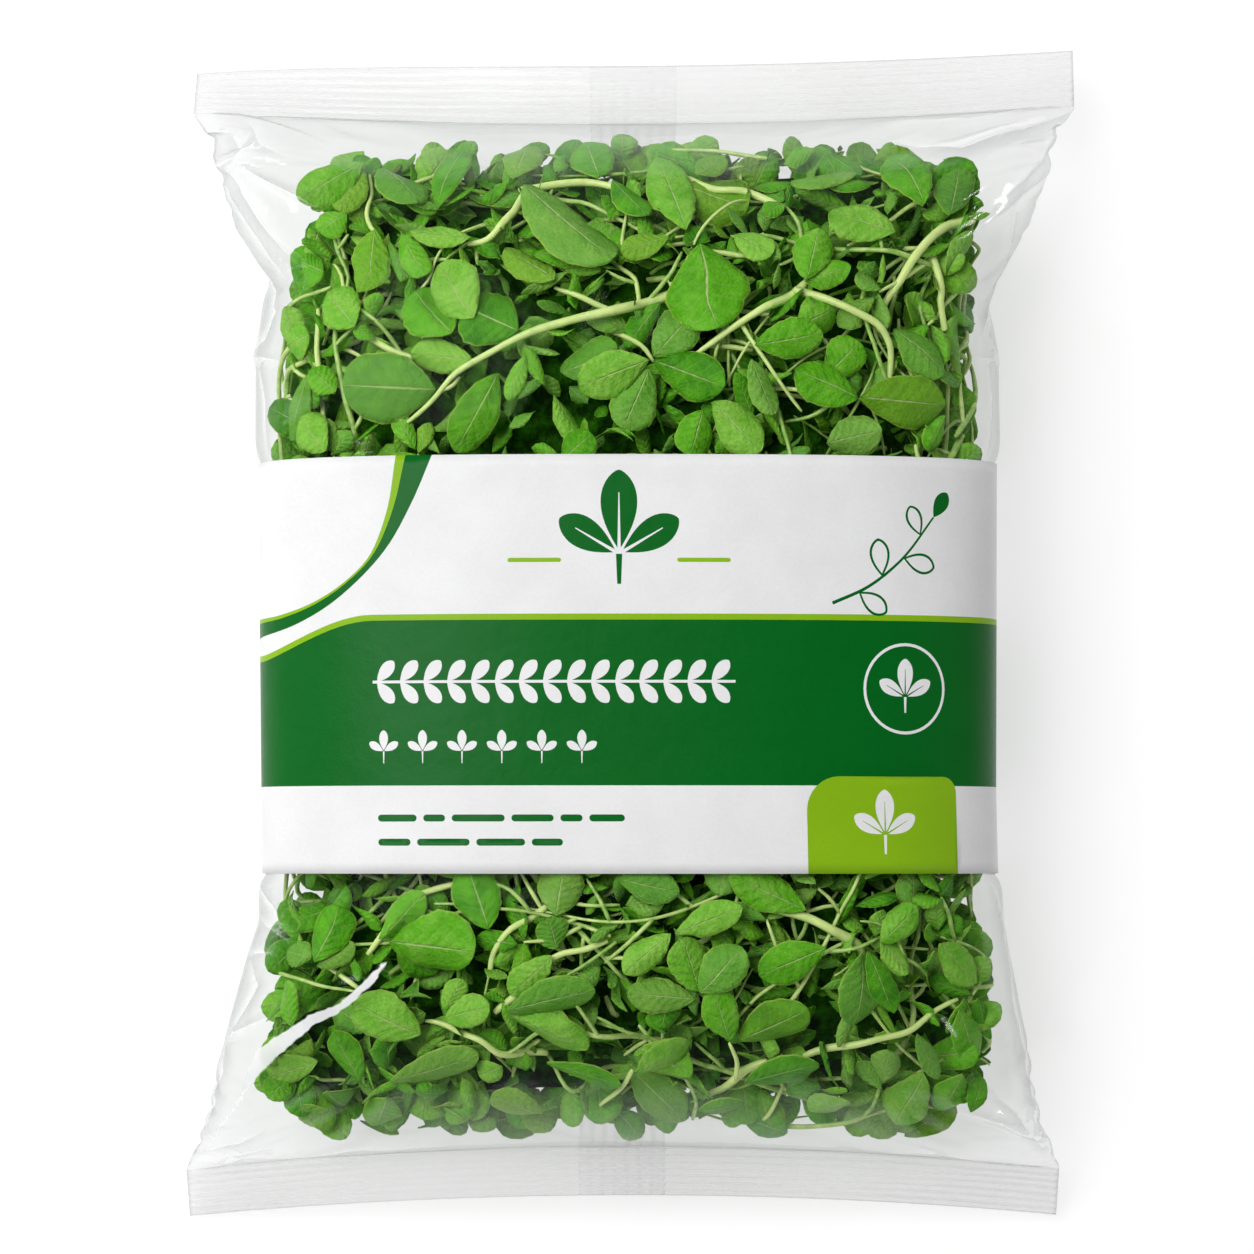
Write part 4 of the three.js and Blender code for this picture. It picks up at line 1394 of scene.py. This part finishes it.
class Sheet:
    """The film between its seals, as a net of points that keep their distances. It is as long at the sides as
    down the middle, so it gathers in folds at the corners and the waist, where the pouch is shorter."""

    def __init__(self, step, slack):
        rows = np.linspace(-CHART.length / 2, CHART.length / 2, int(CHART.length / step) + 1)
        self.columns = np.arange(0, GIRTH, step)
        a, b = np.meshgrid(self.columns, rows)
        self.a, self.b = (a + BACK_MIDDLE) % GIRTH - BACK_MIDDLE, b
        y = CHART.at(a, b)[..., 1]
        beyond = np.maximum(y - BAND_TOP, BAND_BOTTOM - y)
        self.start = CHART.at(a, b, UNDER_BAND * ease(1 - beyond / 2))
        self.normal = CHART.read(CHART.normals, a, b)
        self.free = (beyond > 1) & (np.abs(b) < CHART.length / 2 - 0.01)
        side = from_side(a)
        self.inward = mix(*HEAP_CLEARANCE, ease(1 - side / SIDE_MARGIN))
        self.outward = np.minimum(np.clip(0.15 + 0.4 * (beyond - 1), 0, MOST_PUFF),
                                  mix(MOST_PUFF, SIDE_PLAY, ease(1 - side / PLAIN_STRIP)))
        ring = np.linalg.norm(np.roll(self.start, -1, 1) - self.start, axis=-1)
        middle = ring.shape[0] // 2
        self.round_step = float(ring[middle - 20:middle + 20].mean()) * slack
        self.along_step = float(rows[1] - rows[0]) * slack
        self.points = self.start + self.normal * (self.rough() * self.free)[..., None]
        self.folded, self.side = np.zeros(self.free.shape), np.zeros(self.free.shape)

    def rough(self):
        """Smooth unevenness that the folds start from."""
        bumps = np.random.default_rng(FOLD_SEED).normal(0, 1, self.start.shape[:2])
        for _ in range(3):
            bumps = (bumps * 2 + np.roll(bumps, 1, 1) + np.roll(bumps, -1, 1)) / 4
            bumps[1:-1] = (bumps[1:-1] * 2 + bumps[:-2] + bumps[2:]) / 4
        return bumps * ROUGHNESS / bumps.std()

    def ties(self):
        """(points, points, distance, strength) of the net's threads, in groups that share no point."""
        rows, columns = self.points.shape[:2]
        every_row, every_column = np.arange(rows), np.arange(columns)
        slant = math.hypot(self.round_step, self.along_step)
        ties = []

        def tie(near, far, length, strength):
            near, far = np.ix_(*near), np.ix_(*far)
            plain = np.linalg.norm(self.start[far] - self.start[near], axis=-1)
            ties.append((near, far, mix(plain, length, GATHER), strength))

        def straight(first, reach, strength):
            """Threads to the point that lies so many steps on, round the film and along it."""
            some = np.arange(first, columns, 2 * reach)
            tie((every_row, some), (every_row, (some + reach) % columns), reach * self.round_step, strength)
            some = np.arange(first, rows - reach, 2 * reach)
            tie((some, every_column), (some + reach, every_column), reach * self.along_step, strength)

        for k in (0, 1):
            straight(k, 1, 1.0)
            some = np.arange(k, rows - 1, 2)
            for j in (0, 1):
                near = np.arange(j, columns, 2)
                far = (near + 1) % columns
                tie((some, near), (some + 1, far), slant, 0.5)
                tie((some, far), (some + 1, near), slant, 0.5)
        for k in range(4):
            straight(k, 2, STIFFNESS)
        return ties

    def settle(self, rounds):
        """Pulls every thread to its length again and again, while the air inside presses outwards."""
        loose = self.free.astype(float)
        points, ties = self.points, self.ties()
        for _ in range(rounds):
            points += self.normal * (PUFF * loose)[..., None]
            for near, far, length, strength in ties:
                gap = points[far] - points[near]
                size = np.sqrt((gap * gap).sum(-1))
                weight = loose[near] + loose[far]
                share = strength * (size - length) / np.maximum(size, 1e-6) / np.maximum(weight, 1)
                points[near] += gap * (share * loose[near])[..., None]
                points[far] -= gap * (share * loose[far])[..., None]
            out = ((points - self.start) * self.normal).sum(-1)
            back = np.clip(out, -self.inward, self.outward) - out
            points += self.normal * (back * loose)[..., None]
            points[..., 2] = np.maximum(points[..., 2], FLOOR_CLEARANCE)

    def beside(self, path):
        """For each point of the film: how far it is from a path in the chart, on which side of it (1 is
        left), and how far along the path, from 0 to 1."""
        path = np.asarray(path, float)
        run = run_along(path)
        far, left, share = np.full(self.a.shape, np.inf), np.zeros(self.a.shape), np.zeros(self.a.shape)
        for k, (start, end) in enumerate(zip(path[:-1], path[1:])):
            step = end - start
            a, b = self.a - start[0], self.b - start[1]
            t = np.clip((a * step[0] + b * step[1]) / (step @ step), 0, 1)
            gap = np.hypot(a - t * step[0], b - t * step[1])
            nearer = gap < far
            left = np.where(nearer, np.sign(step[0] * b - step[1] * a), left)
            share = np.where(nearer, mix(run[k], run[k + 1], t) / run[-1], share)
            far = np.minimum(far, gap)
        return far, left, share

    def fold(self, path, height, width, contrast):
        """Raises a fold along a path in the chart, and notes its side that gets painted light and its side
        that gets painted shade.
        """
        far, left, share = self.beside(path)
        fading = np.sin(math.pi * np.clip(share, 0.04, 0.96)) ** 0.5  # towards both ends of the fold
        strength = np.clip(1 - far / width, 0, 1) * fading * self.free
        self.points += self.normal * (height * strength)[..., None]
        stronger = abs(contrast) * strength > self.folded
        self.folded = np.where(stronger, abs(contrast) * strength, self.folded)
        self.side = np.where(stronger, np.sign(contrast) * left * far, self.side)

    def glare(self, path, half_widths):
        """For each point of the film: 0.5 on the edge of a glare along a path, and more inside it."""
        far, _, share = self.beside(path)
        run = run_along(path)
        beyond = far - np.interp(share, run / run[-1], half_widths)
        return np.clip(0.5 - GLARE_SLOPE * beyond, 0, 1) * self.free


def film_rings(sizes):
    """The film's rings of points, from the outer edge of the bottom seal to that of the top one, and the
    values that its material reads, for the rings between the seals."""
    sheet = Sheet(sizes.film_step / MM, sizes.film_slack)
    sheet.settle(sizes.film_rounds)
    for height, width, contrast, *pixels in SEEN_FOLDS:
        sheet.fold([seen(*p) for p in pixels], height, width, contrast)
    glare = sheet.glare([seen(px, py) for px, py, _ in SEEN_GLARE], [half for _, _, half in SEEN_GLARE])
    body = sheet.points
    shares = np.linspace(0, 1, SEAL_ROWS + 1)[1:]
    bottom = [seal_ring(BOTTOM, share, sheet.columns, body[0]) for share in shares]
    top = [seal_ring(TOP, share, sheet.columns, body[-1]) for share in shares]
    return np.array(bottom[::-1] + list(body) + top), dict(fold=sheet.folded, side=sheet.side, glare=glare)


def film_mesh(rings, values):
    """The film as one closed surface: the pouch, and at each end the strip where its two faces are welded."""
    rows, columns = rings.shape[:2]
    index = np.arange(rows * columns).reshape(rows, columns)
    ends = []
    for row, outwards in ((0, -1), (-1, 1)):
        ring = np.roll(index[row], columns // 4)  # from the left side along the front, then along the back
        for k in range(columns // 2):
            ends.append([ring[k], ring[k + 1], ring[-k - 1], ring[-k % columns]][::outwards])
    quads = np.concatenate([ring_quads(rows, columns), np.array(ends)])
    piece = quad_mesh("film", rings.reshape(-1, 3), quads)
    crimped = np.zeros((rows - 1, columns), int)
    crimped[:SEAL_ROWS], crimped[-SEAL_ROWS:] = 1, 1
    slots = np.concatenate([crimped.reshape(-1), np.ones(len(ends), int)])
    piece.data.polygons.foreach_set("material_index", slots)
    share = np.zeros((rows, columns))
    share[:SEAL_ROWS] = np.linspace(1, 1 / SEAL_ROWS, SEAL_ROWS)[:, None]
    share[-SEAL_ROWS:] = share[:SEAL_ROWS][::-1]
    write_values(piece, "crimp", share)
    # edge marks where the seals get painted shade: their outer edges and folded sides
    edge = np.zeros((rows, columns))
    edge[[0, -1]] = 1
    for side in (columns // 4, 3 * columns // 4):
        edge[:SEAL_ROWS, side], edge[-SEAL_ROWS:, side] = 1, 1
    write_values(piece, "edge", edge)
    for name, noted in values.items():
        write_values(piece, name, np.pad(noted, ((SEAL_ROWS, SEAL_ROWS), (0, 0))))
    return piece


def seal_ring(end, share, columns, line):
    """A ring round a crimped end, at a share of its depth from the seal line to its outer edge."""
    out = SEAL_DEPTH * share
    x = line[:, 0]
    side = np.where((columns <= RIGHT_SIDE) | (columns >= LEFT_SIDE), 1.0, -1.0)
    column = (x - x.min()) / (x.max() - x.min()) * 2 - 1
    left, middle, right = end["droop"]
    droop = mix(middle, np.where(column < 0, left, right), column**2)
    centre = SEAL_HEIGHT - sag(x, end["line"])
    y = end["line"] + bow(x, end["line"]) + end["sign"] * out * np.cos(droop)
    ridge = 0.3 * np.sin(math.pi * CRIMP_LINES * share) ** 2
    z = centre - out * np.sin(droop) + side * 0.12 + ridge
    return np.stack([x, y, z], axis=-1)


def fin_mesh(rings):
    """The seam down the back, where the film's two edges are welded and folded flat against it."""
    columns = rings.shape[1]
    reach = int(round(FIN_HALF_WIDTH / GIRTH * columns))
    middle = columns // 2
    strip = rings[:, middle - reach:middle + reach + 1]
    outward = unit(np.cross(np.gradient(strip, axis=1), np.gradient(strip, axis=0)))
    faces = [strip + outward * out for out in FIN_FACES]
    for face in faces:
        face[..., 2] = np.maximum(face[..., 2], 0.05)
    sides, rim = leaf_faces(*strip.shape[:2])
    piece = quad_mesh("back_fin", np.concatenate([f.reshape(-1, 3) for f in faces]),
                      np.concatenate([sides, rim])[:, ::-1])
    write_values(piece, "crimp", np.tile(np.linspace(0, 1, strip.shape[1]), (2 * strip.shape[0], 1)))
    return piece


# ---------------------------------------------------------------------------
# Making the pieces
# ---------------------------------------------------------------------------

CORE_INSET = 7.0  # from the heap's outline in plan
CORE_DEPTH = 15
CORE_STEP = 4
CORE_ROWS = 64


def make_leaves(sizes, colours):
    """The leaflets that the photograph shows, those that point out all round, then the rest by chance."""
    heap = Heap(sizes.seed)
    heap.hand_laid()
    heap.rim()
    heap.fill()
    green = leaf_material(colours)
    for piece in leaf_meshes(heap):
        piece.data.materials.append(green)
        keep(piece, "leaf", "film_bag")
    stems = stem_mesh("stems", heap.stems)
    stems.data.materials.append(stem_material(colours))
    keep(stems, "stem", "film_bag")


def make_core(colours):
    """The middle of the heap, which the leaves hide but for its depth; its dark green is painted shade."""
    rows = np.linspace(-CHART.length / 2 + 14, CHART.length / 2 - 14, CORE_ROWS)
    a, b = np.meshgrid(np.arange(0, GIRTH, CORE_STEP), rows)
    room = CHART.read(CHART.room, a, b)[..., 0]
    depth = np.minimum(CORE_DEPTH + 2 * np.sin(a * 0.21) * np.sin(b * 0.27), room * 0.8 + 1.5)
    points = CHART.at(a, b, depth)
    x, y = points[..., 0], points[..., 1]
    y[:] = np.clip(y, HEAP_PLAN[0, 0] + CORE_INSET, HEAP_PLAN[-1, 0] - CORE_INSET)
    left, right = between_rows(HEAP_PLAN, y)
    x[:] = np.clip(x, left + CORE_INSET, right - CORE_INSET)
    piece = quad_mesh("leaf_core", points.reshape(-1, 3), ring_quads(*a.shape))
    cap_holes(piece)
    piece.data.materials.append(painted_shade_core_material(colours))
    keep(piece, "leaf", "film_bag")


def make_film(sizes):
    rings, values = film_rings(sizes)
    film = film_mesh(rings, values)
    film.data.materials.append(film_material())
    film.data.materials.append(seal_material("crimped_film", 0.12, 0.42, 0.975, 0.06))
    keep(film, "clear_film", "film_bag")
    fin = fin_mesh(rings)
    fin.data.materials.append(seal_material("welded_fin", 0.03, 0.1, 0.995, 0.02))
    keep(fin, "clear_film", "film_bag")


def make_band(colours):
    piece = printed_band()
    for name, ink in (("band_white", colours.band_white), ("band_green", colours.band_green),
                      ("band_lime", colours.band_lime)):
        piece.data.materials.append(print_material(name, ink))
    keep(piece, "printed_band", "label_band")


# ---------------------------------------------------------------------------
# The stage
# ---------------------------------------------------------------------------


LIGHT_AIM = (0, 0, 0.02)

# The lights: their places and sizes in metres, and their power in watts
LIGHTS = [
    ("key", (-0.52, 0.36, 1.16), (0.9, 0.8), 14.6),
    ("strip_left", (-0.95, 0.1, 0.4), (0.08, 0.6), 0.45),
    ("strip_right", (0.95, 0.1, 0.5), (0.1, 0.7), 0.2),
    ("glint_lower_left", (-0.75, -0.6, 0.95), (0.1, 0.1), 1.2),
    ("glint_upper_left", (-0.9, 0.9, 0.6), (0.1, 0.1), 1.2),
    ("glint_upper_right", (0.9, 0.9, 0.6), (0.1, 0.1), 1.2),
    ("glint_lower_right", (0.9, -0.85, 0.6), (0.1, 0.1), 1.2),
]


def area_light(name, place, size, power):
    """A soft rectangular light that is aimed at the bag."""
    data = bpy.data.lights.new(name, "AREA")
    data.shape = "RECTANGLE"
    data.size, data.size_y = size
    data.energy = power
    lamp = placed(name, data)
    lamp.location = place
    lamp.rotation_euler = (Vector(LIGHT_AIM) - Vector(place)).to_track_quat("-Z", "Y").to_euler()


def make_floor():
    """A white table that is lit a little from below, so that shadows on it stay faint."""
    bpy.ops.mesh.primitive_plane_add(size=4.0, location=(0, 0, -0.0002))
    floor = bpy.context.active_object
    floor.name = "floor"
    made, n, surface = new_material("studio_floor")
    shade = n.blend(n.mottle(3.0), (0.44, 0.44, 0.44, 1), (0.46, 0.46, 0.46, 1))
    shader = n.add("BsdfPrincipled", {"Base Color": shade, "Roughness": 0.9, "Specular IOR Level": 0.1,
                                      "Emission Color": (1, 1, 1, 1), "Emission Strength": 0.62})
    n.put(surface, shader.outputs[0])
    floor.data.materials.append(made)


def make_sky():
    """Soft light from all sides, brighter on the left, and darker straight above, where the film mirrors
    it."""
    world = bpy.data.worlds.new("studio")
    world.use_nodes = True
    world.node_tree.nodes.clear()
    n = Nodes(world.node_tree)
    way = n.add("SeparateXYZ", {0: n.add("TexCoord").outputs["Generated"]})
    sides = n.between(way.outputs[0], -0.8, 0.8, 0.52, 0.2)
    light = n.math("MULTIPLY", sides, n.between(way.outputs[2], 0.5, 0.88, 1.0, 0.1))
    sky = n.add("Background", {0: (1, 1, 1, 1), 1: light})
    n.put(n.add("OutputWorld").inputs[0], sky.outputs[0])
    bpy.context.scene.world = world


def make_camera():
    data = bpy.data.cameras.new("camera")
    data.sensor_width = 36
    data.lens = 36 * DISTANCE / (FRAME_PIXELS * MM_PER_PIXEL)
    data.clip_start, data.clip_end = 0.05, 10
    camera = placed("camera", data)
    camera.location = Vector(TARGET - FORWARD * DISTANCE) * MM
    camera.rotation_euler = Vector(FORWARD).to_track_quat("-Z", "Y").to_euler()
    bpy.context.scene.camera = camera


def make_stage():
    make_floor()
    make_sky()
    for light in LIGHTS:
        area_light(*light)
    make_camera()
    bpy.context.scene.view_settings.view_transform = "Standard"


# ---------------------------------------------------------------------------
# The add-on: settings, operators and panel
# ---------------------------------------------------------------------------


class LeafBagSizes(bpy.types.PropertyGroup):
    """Sizes of the film and of the heap."""

    seed: bpy.props.IntProperty(name="Seed", description="Which heap of leaves is laid", default=7, min=0)
    film_step: bpy.props.FloatProperty(
        name="Film Net", description="Distance between the points of the film", default=0.0014, min=0.001,
        unit="LENGTH", subtype="DISTANCE")
    film_slack: bpy.props.FloatProperty(
        name="Film Slack", description="Length of the film over what a smooth pouch needs", default=1.010,
        min=1.0, max=1.05, subtype="FACTOR")
    film_rounds: bpy.props.IntProperty(
        name="Film Rounds", description="How often the film is pulled to its length", default=380, min=1)


def ink(name, description, colour):
    return bpy.props.FloatVectorProperty(name=name, description=description, default=colour, size=3,
                                         min=0.0, max=1.0, subtype="COLOR")


class LeafBagColours(bpy.types.PropertyGroup):
    """Colours of the leaves, the stems and the band's print."""

    leaf_dark: ink("Dark Leaf", "The darkest leaves", (0.046, 0.280, 0.005))
    leaf_middle: ink("Leaf", "Most leaves", (0.150, 0.560, 0.014))
    leaf_light: ink("Light Leaf", "The lightest leaves", (0.340, 0.730, 0.090))
    stem: ink("Stem", "Stems and stalks", (0.64, 0.82, 0.27))
    band_white: ink("Band", "The bare stock of the band", (0.80, 0.80, 0.805))
    band_green: ink("Green Ink", "The green field of the print", (0.001, 0.122, 0.012))
    band_lime: ink("Lime Ink", "The stripe and the tab of the print", (0.24, 0.46, 0.010))


class LEAFBAG_OT_stage(bpy.types.Operator):
    """Add the floor, the lights and the camera"""

    bl_idname = "leafbag.stage"
    bl_label = "Studio"

    def execute(self, context):
        make_stage()
        return {"FINISHED"}


class LEAFBAG_OT_core(bpy.types.Operator):
    """Add the middle of the heap, darkened with painted shade"""

    bl_idname = "leafbag.core"
    bl_label = "Heap Core"

    def execute(self, context):
        make_core(context.scene.leaf_bag_colours)
        return {"FINISHED"}


class LEAFBAG_OT_leaves(bpy.types.Operator):
    """Lay the leaflets and the stems"""

    bl_idname = "leafbag.leaves"
    bl_label = "Leaves"

    def execute(self, context):
        make_leaves(context.scene.leaf_bag_sizes, context.scene.leaf_bag_colours)
        return {"FINISHED"}


class LEAFBAG_OT_film(bpy.types.Operator):
    """Settle the clear film with its crimped ends and its fin"""

    bl_idname = "leafbag.film"
    bl_label = "Film"

    def execute(self, context):
        make_film(context.scene.leaf_bag_sizes)
        return {"FINISHED"}


class LEAFBAG_OT_band(bpy.types.Operator):
    """Wrap the printed band round the bag"""

    bl_idname = "leafbag.band"
    bl_label = "Printed Band"

    def execute(self, context):
        make_band(context.scene.leaf_bag_colours)
        return {"FINISHED"}


STEPS = (LEAFBAG_OT_stage, LEAFBAG_OT_core, LEAFBAG_OT_leaves, LEAFBAG_OT_film, LEAFBAG_OT_band)


class LEAFBAG_PT_panel(bpy.types.Panel):
    """The steps and settings of the leaf bag"""

    bl_label = "Leaf Bag"
    bl_idname = "LEAFBAG_PT_panel"
    bl_space_type = "VIEW_3D"
    bl_region_type = "UI"
    bl_category = "Leaf Bag"

    def draw(self, context):
        for group in (context.scene.leaf_bag_sizes, context.scene.leaf_bag_colours):
            box = self.layout.box()
            for name in group.__annotations__:
                box.prop(group, name)
        for step in STEPS:
            self.layout.operator(step.bl_idname)


CLASSES = (LeafBagSizes, LeafBagColours) + STEPS + (LEAFBAG_PT_panel,)


def register():
    for cls in CLASSES:
        bpy.utils.register_class(cls)
    bpy.types.Scene.leaf_bag_sizes = bpy.props.PointerProperty(type=LeafBagSizes)
    bpy.types.Scene.leaf_bag_colours = bpy.props.PointerProperty(type=LeafBagColours)


def unregister():
    del bpy.types.Scene.leaf_bag_colours
    del bpy.types.Scene.leaf_bag_sizes
    for cls in reversed(CLASSES):
        bpy.utils.unregister_class(cls)


def main():
    register()
    bpy.ops.leafbag.stage()
    bpy.ops.leafbag.core()
    bpy.ops.leafbag.leaves()
    bpy.ops.leafbag.film()
    bpy.ops.leafbag.band()


if __name__ == "__main__":
    main()
